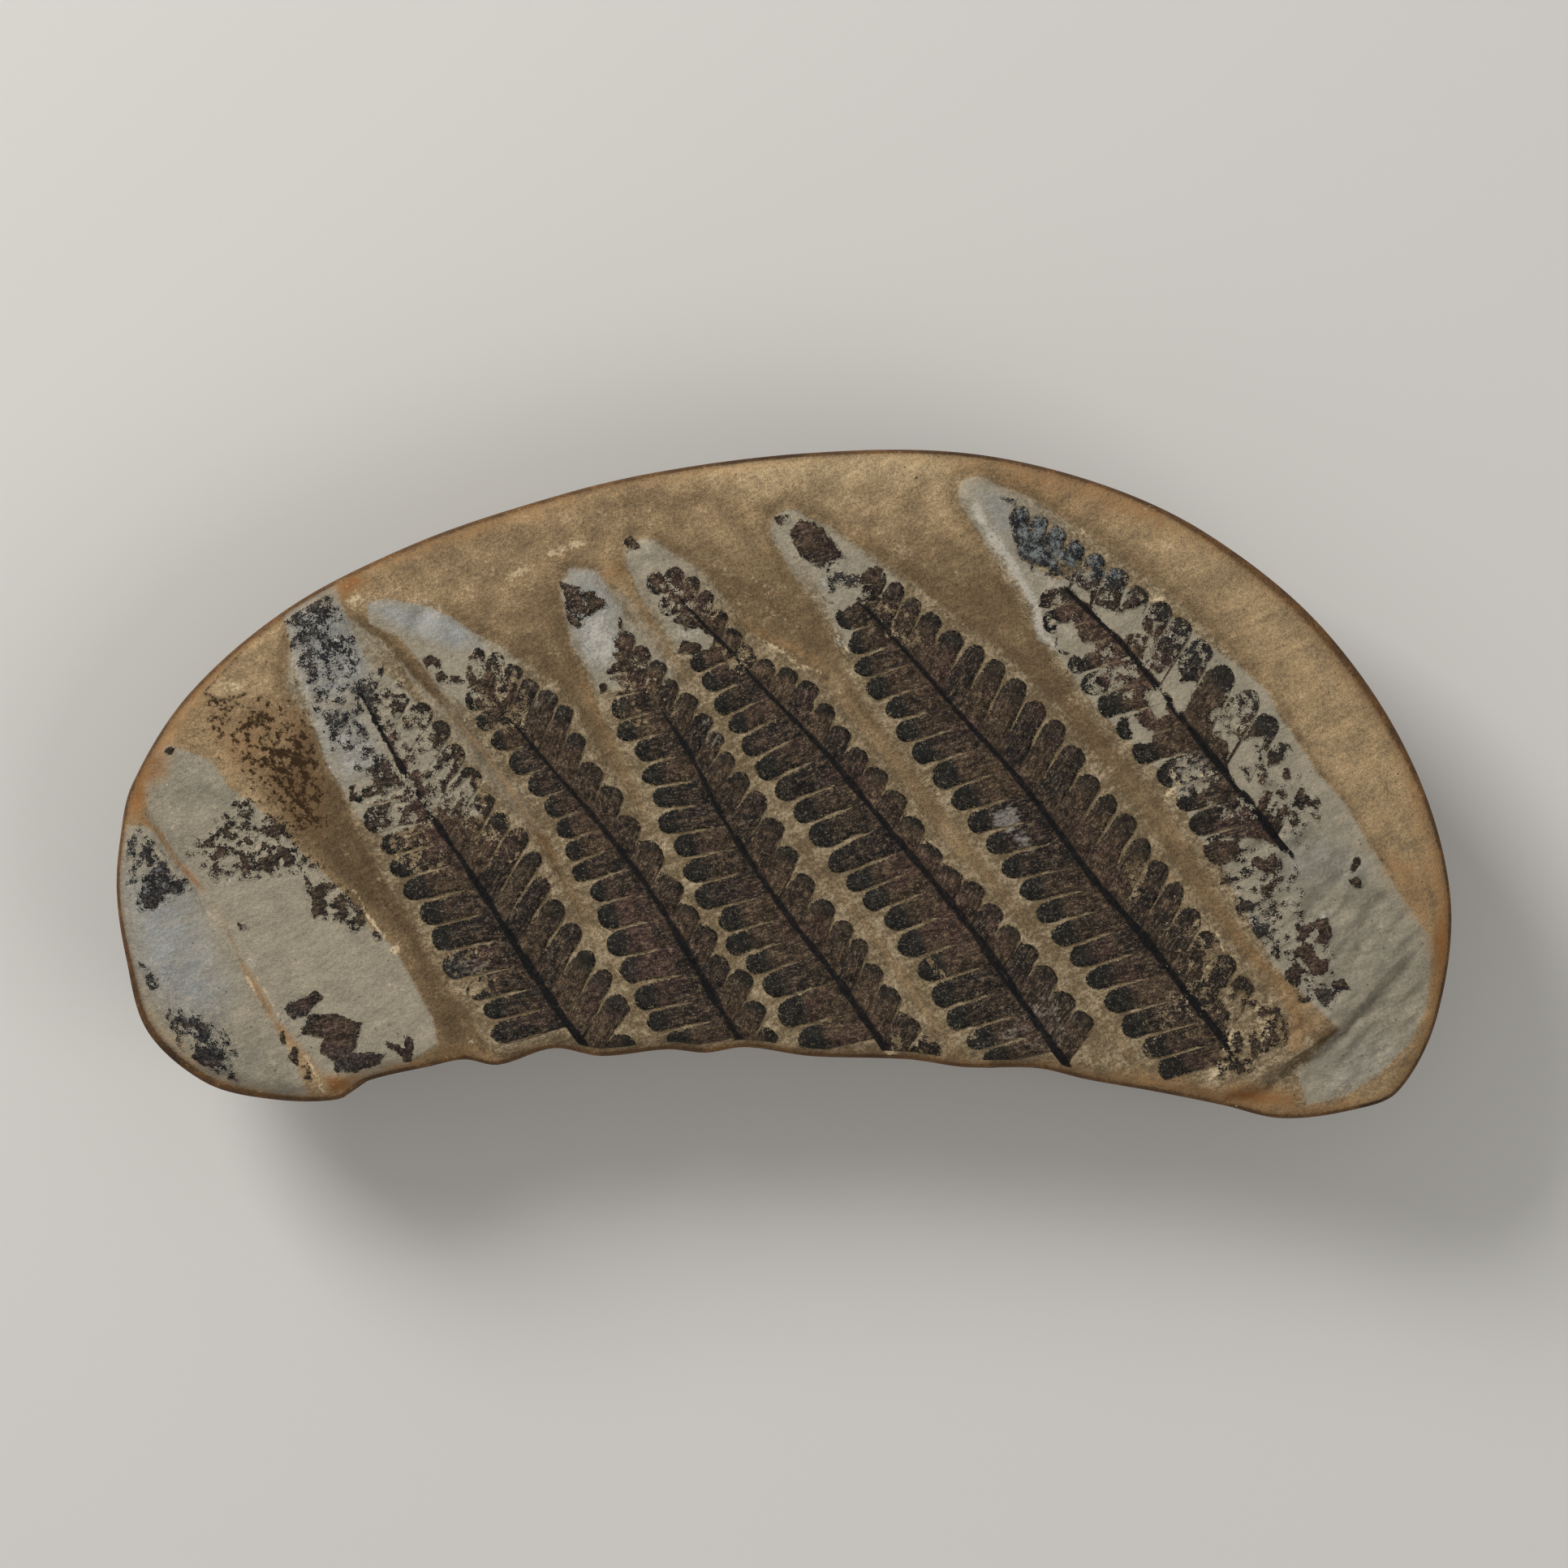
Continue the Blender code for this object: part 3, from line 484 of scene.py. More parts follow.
# %% Pale and grey stone, where there is no film
PALE = [
    # the first leaflet, at the left end, up to the seam beside the second
    area(1.0, 1.0, (130, 1015), (186, 1018), (258, 1096), (306, 1202), (366, 1310), (384, 1360),
        (300, 1360), (250, 1338), (200, 1300), (160, 1225), (130, 1120)),
    # the second leaflet
    area(0.8, 1.0, (188, 930), (205, 916), (262, 936), (283, 970), (312, 988), (432, 1108), (455, 1140),
        (488, 1169), (534, 1254), (540, 1285), (500, 1312), (440, 1335), (404, 1338), (340, 1255),
        (304, 1196), (280, 1140), (254, 1094), (228, 1070), (182, 1008), (178, 965)),
    # the upper part of the third
    area(0.6, 1.0, (345, 745), (370, 835), (403, 940), (444, 1008), (470, 1030), (540, 1010), (596, 1004),
        (584, 964), (519, 872), (496, 845), (455, 815), (432, 772), (408, 705)),
    # tips of the fourth, the fifth, the sixth and the seventh
    area(0.7, 1.0, (452, 744), (475, 737), (530, 748), (560, 762), (604, 800), (640, 815), (575, 870),
        (535, 838), (494, 785), (455, 768)),
    area(1.5, 1.0, (692, 716), (702, 698), (733, 702), (770, 748), (764, 850), (735, 850), (698, 760)),
    area(2.5, 0.7, (750, 735), (800, 770), (850, 850), (800, 850), (765, 800)),
    area(1.3, 0.95, (770, 676), (790, 672), (842, 700), (850, 740), (884, 795), (860, 815), (828, 790)),
    area(2.5, 0.45, (845, 700), (890, 730), (930, 790), (880, 780), (850, 740)),
    area(0.9, 0.5, (740, 715), (770, 725), (830, 800), (800, 800), (760, 750)),
    area(1.4, 0.95, (952, 638), (990, 638), (1040, 662), (1112, 716), (1112, 730), (1060, 745), (1048, 808),
        (1000, 712), (956, 662)),
    area(2.5, 0.4, (1080, 684), (1136, 712), (1180, 775), (1130, 740)),
    # the eighth: its tip, its left margin and its bare middle
    area(0.7, 1.0, (1180, 602), (1192, 588), (1240, 606), (1256, 640), (1262, 690), (1300, 716),
        (1360, 700), (1410, 740), (1460, 770), (1560, 850), (1590, 907), (1600, 980), (1560, 1040),
        (1500, 1060), (1478, 1030), (1440, 960), (1350, 870), (1296, 796), (1278, 788), (1278, 750),
        (1225, 672), (1203, 652)),
    # and the broad patch at its foot
    area(0.9, 1.0, (1488, 795), (1530, 822), (1556, 850), (1622, 950), (1655, 987), (1728, 1106),
        (1766, 1160), (1758, 1240), (1738, 1284), (1698, 1324), (1654, 1352), (1610, 1362), (1600, 1320),
        (1650, 1268), (1570, 1190), (1470, 1000), (1440, 950)),
    # between the upper right pinnules of the third, where the stone is fresh
    area(2.0, 0.5, (500, 860), (560, 860), (640, 960), (690, 1040), (650, 1030)),
]
BLUE = [
    area(4.0, 1.0, (160, 1090), (230, 1100), (280, 1220), (250, 1260), (165, 1190)),
    area(1.5, 0.8, (352, 750), (420, 745), (450, 800), (450, 830), (420, 860), (378, 850)),
    area(2.0, 0.7, (390, 870), (450, 890), (470, 940), (430, 960), (400, 920)),
    area(1.2, 1.0, (450, 746), (520, 745), (570, 765), (596, 795), (560, 798), (500, 775)),
    area(1.5, 0.7, (700, 700), (735, 703), (765, 745), (770, 800), (740, 830), (705, 790)),
    area(1.2, 0.7, (1202, 602), (1240, 612), (1246, 660), (1230, 655)),
    area(2.5, 0.8, (1590, 1035), (1640, 1040), (1680, 1070), (1620, 1090), (1585, 1080)),
    area(3.0, 0.65, (1632, 1305), (1690, 1285), (1712, 1292), (1680, 1325), (1640, 1335)),
]
GREY = [
    area(3.0, 0.75, (255, 1250), (330, 1280), (390, 1352), (300, 1356), (235, 1310)),
    area(2.5, 0.85, (188, 935), (240, 936), (290, 985), (250, 995), (200, 985)),
    area(1.5, 0.6, (772, 676), (800, 676), (812, 690), (784, 698)),
    area(4.0, 0.9, (1560, 960), (1640, 1010), (1764, 1165), (1750, 1260), (1700, 1335), (1620, 1350),
        (1600, 1310), (1660, 1260), (1600, 1180), (1560, 1090)),
    area(2.0, 0.7, (1700, 1215), (1740, 1190), (1735, 1245), (1690, 1262)),
    area(1.5, 0.6, (1575, 1085), (1620, 1070), (1610, 1120), (1580, 1130)),
]
WHITE = [
    area(1.2, 0.55, (722, 756), (746, 750), (764, 800), (735, 832), (720, 806)),
    area(0.8, 0.25, (700, 702), (722, 694), (730, 708), (708, 712)),
    trail(0.3, 1.2, 0.35, (456, 744), (500, 742), (540, 756)),
    # painted highlight on the lit side of the eighth leaflet's crest
    trail(0.4, 0.9, 0.85, (1202, 625), (1215, 650), (1252, 702), (1277, 748), (1283, 780), (1298, 794)),
    area(1.2, 0.4, (1274, 704), (1320, 716), (1312, 727), (1290, 728)),
    area(1.5, 0.3, (1305, 780), (1345, 785), (1345, 798), (1318, 796)),
    # painted highlight along the third leaflet's left margin, which faces the lamp
    trail(0.3, 1.0, 0.45, (362, 800), (387, 888), (420, 968)),
    area(1.5, 0.35, (405, 890), (440, 890), (470, 940), (450, 965), (425, 940)),
    area(0.8, 0.45, (828, 770), (860, 768), (874, 786), (836, 788)),
    area(0.5, 0.55, (1008, 712), (1018, 710), (1024, 724), (1016, 726)),
    area(0.6, 0.4, (1048, 712), (1062, 714), (1060, 730), (1050, 728)),
    area(0.5, 0.7, (1028, 788), (1034, 782), (1048, 800), (1030, 798)),
    area(0.4, 0.9, (1542, 1134), (1548, 1126), (1550, 1132), (1544, 1138)),
    area(0.4, 0.9, (1626, 1126), (1631, 1118), (1633, 1130), (1628, 1132)),
    trail(0.1, 0.35, 0.9, (1687, 1098), (1691, 1110)),
    area(0.5, 0.9, (279, 1092), (284, 1080), (292, 1074), (288, 1084)),
    area(0.6, 0.55, (306, 1184), (314, 1178), (316, 1192), (308, 1196)),
]

# %% Brown and light stone
BROWN = [
    # the dark wedges between the leaflets' tips
    area(3.0, 0.75, (470, 770), (530, 830), (620, 950), (700, 1080), (690, 1090), (600, 960), (455, 785)),
    area(1.2, 0.8, (442, 768), (462, 762), (525, 832), (508, 846), (468, 812)),
    area(6.0, 0.85, (640, 770), (690, 750), (760, 960), (640, 830)),
    area(5.0, 0.85, (880, 690), (960, 700), (1035, 790), (1010, 820), (890, 750)),
    area(6.0, 0.8, (1080, 672), (1210, 700), (1270, 750), (1270, 800), (1190, 780)),
    area(4.0, 0.8, (1230, 790), (1290, 800), (1400, 945), (1420, 1000), (1330, 920)),
    # the stone beside the third leaflet
    area(2.5, 0.9, (380, 900), (425, 982), (470, 1045), (540, 1200), (572, 1235), (596, 1290), (548, 1300),
        (490, 1165), (420, 1095), (355, 1012), (345, 960)),
    # thin grooves: brown stone, with painted shade on slopes turned from the lamp and beside a crest
    trail(0.45, 0.8, 0.9, (443, 766), (470, 782), (532, 852), (645, 998), (673, 1040), (690, 1080)),
    trail(0.3, 0.9, 0.8, (826, 700), (860, 705), (884, 728), (916, 775)),
    trail(0.25, 0.9, 0.6, (952, 670), (994, 715), (1008, 740), (1022, 775)),
    trail(0.3, 1.2, 0.7, (1016, 800), (1062, 872), (1130, 950), (1180, 1000)),
    trail(0.3, 1.6, 0.55, (1290, 830), (1370, 930), (1450, 1050), (1500, 1120), (1560, 1190), (1600, 1230)),
    trail(0.3, 1.6, 0.7, (700, 800), (764, 910), (790, 950)),
    trail(0.2, 1.0, 0.8, (1230, 655), (1250, 690), (1268, 730), (1275, 780), (1300, 805)),
    # painted shadow below the step, and the foot of the eighth
    trail(0.5, 0.9, 1.0, (1509, 1350), (1590, 1305), (1655, 1264)),
    trail(0.1, 1.0, 0.5, (1690, 1245), (1712, 1225), (1744, 1178)),
    trail(0.1, 1.0, 0.4, (1640, 1130), (1700, 1092)),
    trail(0.1, 1.4, 0.4, (1610, 1325), (1665, 1312), (1705, 1290), (1740, 1262)),
    area(0.4, 0.7, (1590, 900), (1606, 905), (1604, 915), (1592, 912)),
]
LIGHT = [
    area(3.0, 1.0, (870, 560), (1000, 556), (1170, 560), (1160, 590), (960, 604), (880, 596)),
    area(5.0, 0.5, (960, 600), (1200, 600), (1180, 625), (1060, 640), (980, 625)),
    area(2.5, 0.8, (1620, 905), (1665, 868), (1682, 890), (1636, 925)),
    area(4.0, 0.2, (270, 790), (345, 800), (330, 850), (260, 850)),
    area(0.5, 1.0, (254, 850), (270, 838), (302, 837), (303, 850), (276, 860)),
    area(6.0, 0.8, (1440, 640), (1600, 760), (1700, 900), (1745, 1040), (1690, 1000), (1600, 850),
        (1520, 760)),
]

# %% Rust, chips and stains
RUST = [
    area(2.0, 0.9, (413, 722), (430, 700), (458, 712), (424, 742)),
    trail(0.3, 0.7, 0.8, (236, 858), (290, 803), (318, 778), (352, 752)),
    area(1.6, 0.8, (150, 1012), (150, 968), (170, 930), (186, 940), (178, 1012)),
    trail(0.22, 0.6, 0.9, (176, 1008), (196, 1024), (216, 1058), (250, 1096)),
    trail(0.15, 1.2, 0.25, (250, 1097), (275, 1150), (300, 1195)),
    trail(0.3, 0.8, 0.7, (300, 1190), (312, 1206), (334, 1248)),
    trail(0.3, 0.9, 0.7, (345, 1265), (370, 1290), (406, 1338)),
    area(1.2, 0.9, (396, 1325), (450, 1322), (430, 1342), (410, 1350)),
    area(1.0, 0.7, (462, 1318), (480, 1310), (505, 1310), (490, 1322)),
    area(2.0, 0.9, (1520, 1334), (1600, 1345), (1596, 1368), (1490, 1358)),
    area(1.5, 0.5, (1585, 1215), (1612, 1255), (1606, 1290), (1586, 1300)),
    area(8.0, 0.28, (1480, 650), (1610, 750), (1710, 900), (1745, 1040), (1690, 1040), (1620, 900),
        (1540, 800)),
    trail(0.2, 1.0, 0.6, (880, 752), (930, 776), (985, 800), (1020, 822)),
    trail(0.3, 1.6, 0.5, (1440, 1080), (1490, 1110), (1530, 1160), (1590, 1220)),
    area(1.6, 0.5, (885, 572), (905, 568), (903, 600), (893, 598)),
    trail(0.25, 0.8, 0.6, (556, 880), (600, 930), (640, 990), (680, 1055)),
    trail(0.25, 0.8, 0.45, (715, 830), (735, 880), (760, 920)),
    area(1.5, 0.6, (1400, 610), (1440, 622), (1445, 650), (1425, 660)),
    area(3.0, 0.6, (1690, 1040), (1745, 1060), (1770, 1130), (1755, 1148)),
    area(1.5, 0.9, (1764, 1150), (1790, 1140), (1785, 1230), (1766, 1235)),
    area(3.0, 0.45, (262, 890), (330, 900), (330, 950), (290, 950)),
    area(1.5, 0.5, (738, 690), (768, 692), (776, 712), (750, 716)),
    area(2.0, 0.4, (990, 640), (1060, 660), (1090, 678), (1060, 668)),
]
CREAM = [
    area(0.5, 0.5, (272, 840), (301, 838), (300, 848), (276, 857)),
    trail(0.1, 0.5, 0.8, (934, 786), (970, 806), (984, 820), (1002, 823), (1016, 831)),
    trail(0.08, 0.5, 0.5, (868, 752), (910, 778), (934, 787)),
    trail(0.1, 0.4, 0.8, (1029, 776), (1046, 804)),
    trail(0.1, 0.4, 0.7, (302, 1196), (320, 1232), (332, 1250)),
    trail(0.08, 0.4, 0.6, (308, 1180), (314, 1198), (345, 1250)),
    trail(0.14, 0.6, 0.8, (378, 1300), (400, 1345)),
    trail(0.25, 0.6, 0.6, (1442, 944), (1446, 954)),
    trail(0.3, 0.7, 0.6, (1438, 978), (1460, 962)),
    trail(0.18, 0.5, 0.65, (1461, 935), (1472, 930)),
    trail(0.15, 0.5, 0.5, (1464, 962), (1482, 956)),
    area(0.8, 0.3, (1540, 1232), (1572, 1230), (1580, 1262), (1560, 1290), (1540, 1300)),
    area(0.8, 0.5, (1499, 1266), (1525, 1262), (1525, 1300), (1503, 1296)),
    area(0.8, 0.5, (1488, 1308), (1520, 1302), (1512, 1322), (1490, 1330)),
    trail(0.1, 0.35, 0.95, (1500, 1150), (1508, 1172)),
    trail(0.1, 0.35, 0.95, (1479, 1200), (1498, 1178)),
    trail(0.08, 0.35, 0.8, (1446, 1100), (1450, 1110)),
    area(0.9, 0.5, (592, 708), (612, 688), (622, 696), (607, 714)),
    area(0.9, 0.45, (618, 716), (640, 694), (650, 700), (630, 718)),
    area(0.8, 0.55, (676, 684), (694, 670), (726, 664), (726, 672)),
    area(0.8, 0.5, (730, 640), (740, 622), (752, 630), (738, 644)),
    trail(0.08, 0.6, 0.5, (804, 612), (796, 650)),
    trail(0.08, 0.6, 0.6, (489, 705), (494, 720), (488, 728)),
    trail(0.05, 0.3, 0.7, (418, 1044), (436, 1060)),
    trail(0.1, 0.4, 0.9, (436, 1096), (446, 1110), (452, 1126), (474, 1154)),
    area(0.5, 0.85, (482, 1170), (490, 1164), (494, 1172), (486, 1176)),
    area(0.8, 0.5, (424, 740), (440, 728), (452, 732), (436, 752)),
    area(0.8, 0.6, (1324, 656), (1334, 650), (1338, 658), (1328, 662)),
    area(0.5, 0.6, (1420, 738), (1436, 734), (1442, 740), (1428, 742)),
    area(0.5, 0.8, (1090, 1290), (1100, 1286), (1106, 1300), (1094, 1302)),
    trail(0.08, 0.3, 0.9, (1232, 1190), (1240, 1206), (1262, 1230)),
    trail(0.06, 0.3, 0.6, (1266, 1150), (1252, 1190)),
]
SHEEN = [
    # painted sheen: whitish patches on the film
    area(1.0, 0.9, (1222, 998), (1250, 990), (1258, 1010), (1246, 1030), (1222, 1020)),
    area(1.0, 0.7, (1236, 1030), (1262, 1020), (1280, 1046), (1262, 1052)),
    area(2.0, 0.3, (1240, 1080), (1300, 1080), (1310, 1110), (1250, 1110)),
    area(2.0, 0.5, (540, 1170), (610, 1165), (612, 1205), (550, 1210)),
    area(3.0, 0.45, (1180, 1290), (1300, 1200), (1340, 1250), (1300, 1310)),
    area(2.0, 0.6, (430, 1105), (480, 1110), (500, 1175), (470, 1165)),
    area(3.0, 0.35, (640, 760), (700, 840), (760, 900), (700, 930), (620, 850)),
    area(1.5, 0.5, (860, 880), (900, 890), (896, 930), (866, 920)),
    area(1.5, 0.5, (1440, 930), (1490, 926), (1500, 975), (1450, 985)),
    area(1.5, 0.5, (700, 720), (716, 728), (712, 750), (700, 745)),
]
STAIN = [
    area(2.0, 0.7, (240, 866), (262, 850), (330, 848), (372, 868), (398, 930), (410, 1000), (404, 1042),
        (366, 1034), (246, 905)),
    area(2.5, 1.05, (285, 876), (330, 862), (378, 872), (398, 940), (408, 1030), (370, 1034), (296, 930)),
    area(2.5, 1.25, (308, 888), (382, 890), (396, 1025), (372, 1028), (322, 950)),
]
CRACKS_AND_SHADOW_LINES = [
    # painted shadow at the foot of the step
    trail(0.12, 0.6, 0.6, (1512, 1350), (1588, 1309), (1604, 1296)),
    trail(0.12, 0.5, 0.7, (1604, 1297), (1654, 1267)),
    trail(0.14, 0.6, 0.7, (1598, 1246), (1606, 1268), (1606, 1292)),
    # painted shade in the sharpest part of the groove beside the third leaflet, and painted
    # shadow lines beside the crests at the upper left
    trail(0.12, 0.6, 0.6, (505, 822), (556, 880), (610, 950), (640, 992), (668, 1036)),
    trail(0.14, 0.4, 0.8, (250, 855), (299, 801), (325, 778), (352, 758)),
    trail(0.16, 0.5, 0.9, (256, 856), (270, 862), (286, 861), (303, 854)),
    # painted shadow lines at the end of the step, by the sixth leaflet's tip and beside the eighth's crest
    trail(0.05, 0.3, 0.7, (1666, 1246), (1680, 1252), (1694, 1244)),
    trail(0.05, 0.4, 0.5, (826, 700), (860, 705), (884, 728), (900, 750)),
    trail(0.05, 0.4, 0.6, (1232, 655), (1250, 690), (1266, 730), (1272, 775)),
]

# %% [markdown]
# A layer can also say how much of the film has gone. On a whole leaflet that is the share lost:
# at 1 the stone is bare, and at 0.5 specks of film are left. On the bare leaflets it is the
# other way round, because a few scraps are all there is.

# %% Film lost, and pinnules that stayed whole
def crisp(*outline):
    """A patch with a crisp outline."""
    return area(0.4, 1.0, *outline)


LOST = [
    # the third leaflet: its tip, its left side and then its right side
    crisp((335, 750), (420, 700), (470, 790), (476, 815), (455, 832), (438, 838), (459, 886), (494, 950),
        (470, 965), (436, 976), (425, 985), (398, 930), (350, 800)),
    area(2.5, 0.55, (425, 960), (500, 955), (530, 1000), (515, 1040), (470, 1045), (440, 1010)),
    area(1.0, 0.55, (452, 832), (476, 815), (515, 835), (612, 955), (625, 1000), (590, 1010), (540, 1000),
        (465, 885)),
    area(1.5, 0.3, (430, 990), (470, 975), (520, 1000), (560, 1080), (500, 1080)),
    area(2.0, 0.25, (560, 1000), (640, 1000), (640, 1060), (590, 1060)),
    # the fourth
    area(0.6, 1.0, (480, 740), (560, 745), (612, 785), (578, 806), (578, 850), (566, 862), (500, 860),
        (480, 800)),
    area(1.0, 0.3, (575, 795), (650, 800), (660, 900), (600, 900), (572, 850)),
    # the fifth
    crisp((680, 700), (720, 690), (762, 730), (764, 776), (756, 796), (757, 816), (748, 830), (768, 846),
        (762, 856), (745, 862), (700, 850)),
    area(1.5, 0.16, (745, 790), (800, 790), (850, 860), (830, 900), (760, 900)),
    # the sixth
    crisp((755, 655), (830, 690), (820, 702), (796, 704), (796, 724), (806, 732), (805, 746), (814, 750),
        (817, 764), (838, 766), (846, 776), (862, 772), (880, 786), (872, 800), (858, 792), (834, 790),
        (800, 770), (770, 720)),
    area(1.5, 0.2, (796, 700), (880, 705), (890, 760), (850, 775), (800, 750)),
    area(1.0, 0.3, (880, 790), (930, 790), (930, 830), (890, 830)),
    # the seventh
    crisp((940, 630), (1000, 630), (1060, 660), (1095, 690), (1082, 716), (1062, 722), (1062, 738),
        (1040, 752), (1000, 730), (950, 670)),
    area(1.5, 0.2, (1060, 725), (1160, 740), (1160, 790), (1100, 800)),
    # the eighth, down its right side
    crisp((1180, 590), (1244, 600), (1246, 655), (1258, 692), (1300, 702), (1332, 722), (1350, 742),
        (1366, 752), (1386, 752), (1412, 742), (1408, 765), (1412, 780), (1380, 784), (1366, 776),
        (1344, 746), (1316, 724), (1282, 729), (1280, 790), (1240, 720)),
    area(1.0, 0.28, (1290, 690), (1340, 690), (1400, 715), (1400, 750), (1350, 740)),
    area(1.0, 0.3, (1376, 716), (1408, 716), (1410, 745), (1380, 752)),
    area(1.5, 0.2, (1405, 740), (1470, 760), (1492, 800), (1480, 835), (1452, 835)),
    crisp((1422, 832), (1450, 815), (1454, 838), (1478, 837), (1461, 874), (1452, 880), (1436, 850)),
    area(1.0, 0.3, (1506, 842), (1552, 842), (1552, 870), (1510, 876)),
    area(0.8, 0.8, (1488, 872), (1544, 870), (1524, 908), (1490, 910)),
    crisp((1512, 905), (1522, 900), (1532, 916), (1556, 912), (1545, 945), (1528, 940), (1524, 955),
        (1560, 968), (1548, 992), (1530, 972), (1516, 948)),
    area(0.5, 1.0, (1520, 912), (1556, 908), (1560, 936), (1552, 962), (1562, 972), (1524, 975),
        (1512, 940)),
    area(0.8, 0.5, (1560, 908), (1576, 914), (1572, 924), (1560, 922)),
    area(0.8, 0.4, (1558, 965), (1590, 965), (1590, 1020), (1560, 1005)),
    area(0.5, 1.0, (1586, 920), (1650, 960), (1660, 1060), (1594, 1060), (1580, 1015), (1592, 985),
        (1578, 965), (1560, 962), (1556, 945), (1578, 942)),
    # and down its left side
    crisp((1302, 770), (1322, 766), (1334, 790), (1345, 786), (1350, 796), (1340, 808), (1318, 806),
        (1300, 800)),
    area(0.3, 1.0, (1374, 824), (1382, 819), (1388, 826), (1384, 834)),
    area(1.0, 0.35, (1284, 728), (1310, 730), (1340, 790), (1400, 800), (1420, 860), (1360, 860),
        (1310, 830)),
    crisp((1390, 882), (1402, 880), (1406, 894), (1420, 900), (1418, 914), (1403, 916), (1396, 910)),
    area(0.5, 1.0, (1420, 850), (1434, 850), (1440, 880), (1424, 888), (1414, 872)),
    area(1.0, 0.42, (1437, 930), (1490, 925), (1500, 960), (1460, 985), (1438, 985)),
    area(1.0, 0.35, (1486, 985), (1540, 980), (1550, 1010), (1490, 1008)),
    area(0.5, 1.0, (1470, 1036), (1545, 1030), (1580, 1046), (1625, 1075), (1700, 1250), (1560, 1250),
        (1480, 1080)),
    # the foot of the seventh, and pinnules of the others
    area(1.0, 0.6, (1505, 1212), (1560, 1225), (1590, 1255), (1560, 1330), (1470, 1345), (1515, 1270),
        (1500, 1240)),
    area(2.5, 0.14, (1430, 1120), (1520, 1120), (1540, 1230), (1440, 1330), (1380, 1330), (1420, 1200)),
    area(1.5, 0.35, (1385, 775), (1440, 780), (1430, 830), (1400, 835)),
    area(0.5, 1.0, (1528, 1288), (1560, 1290), (1600, 1310), (1560, 1370), (1500, 1360)),
    area(0.6, 0.9, (1496, 1150), (1512, 1150), (1504, 1176), (1485, 1200), (1480, 1190)),
    area(1.0, 0.45, (1385, 1060), (1412, 1055), (1415, 1105), (1392, 1110)),
    area(0.6, 1.0, (572, 1210), (600, 1205), (604, 1220), (578, 1226)),
    area(1.5, 0.3, (545, 1172), (612, 1165), (612, 1205), (550, 1205)),
    area(2.0, 0.4, (1100, 1270), (1200, 1270), (1200, 1310), (1100, 1305)),
    area(0.8, 0.9, (1142, 1178), (1150, 1182), (1170, 1204), (1160, 1206)),
]
WHOLE = [
    crisp((512, 856), (530, 853), (534, 866), (528, 877), (513, 877)),
    crisp((532, 884), (545, 878), (553, 888), (551, 900), (534, 899)),
    crisp((568, 940), (582, 937), (590, 948), (586, 957), (570, 954)),
    crisp((594, 1000), (610, 990), (624, 1000), (620, 1016), (600, 1016)),
    area(0.5, 1.0, (1360, 702), (1378, 696), (1382, 720), (1366, 724)),
    area(0.5, 1.0, (1466, 868), (1490, 824), (1514, 822), (1514, 842), (1490, 882), (1470, 886)),
    area(0.5, 1.0, (1540, 880), (1568, 882), (1564, 896), (1545, 898)),
    area(0.5, 1.0, (1408, 926), (1440, 930), (1444, 944), (1420, 950), (1402, 944)),
    crisp((1450, 994), (1462, 984), (1484, 980), (1484, 994), (1460, 1002)),
    area(0.5, 1.0, (1446, 994), (1462, 986), (1504, 998), (1500, 1024), (1466, 1030)),
]

# %% Scraps of film
def scrap(*outline):
    """A crisp scrap, hardly flaked."""
    return area(0.35, 0.95, *outline)


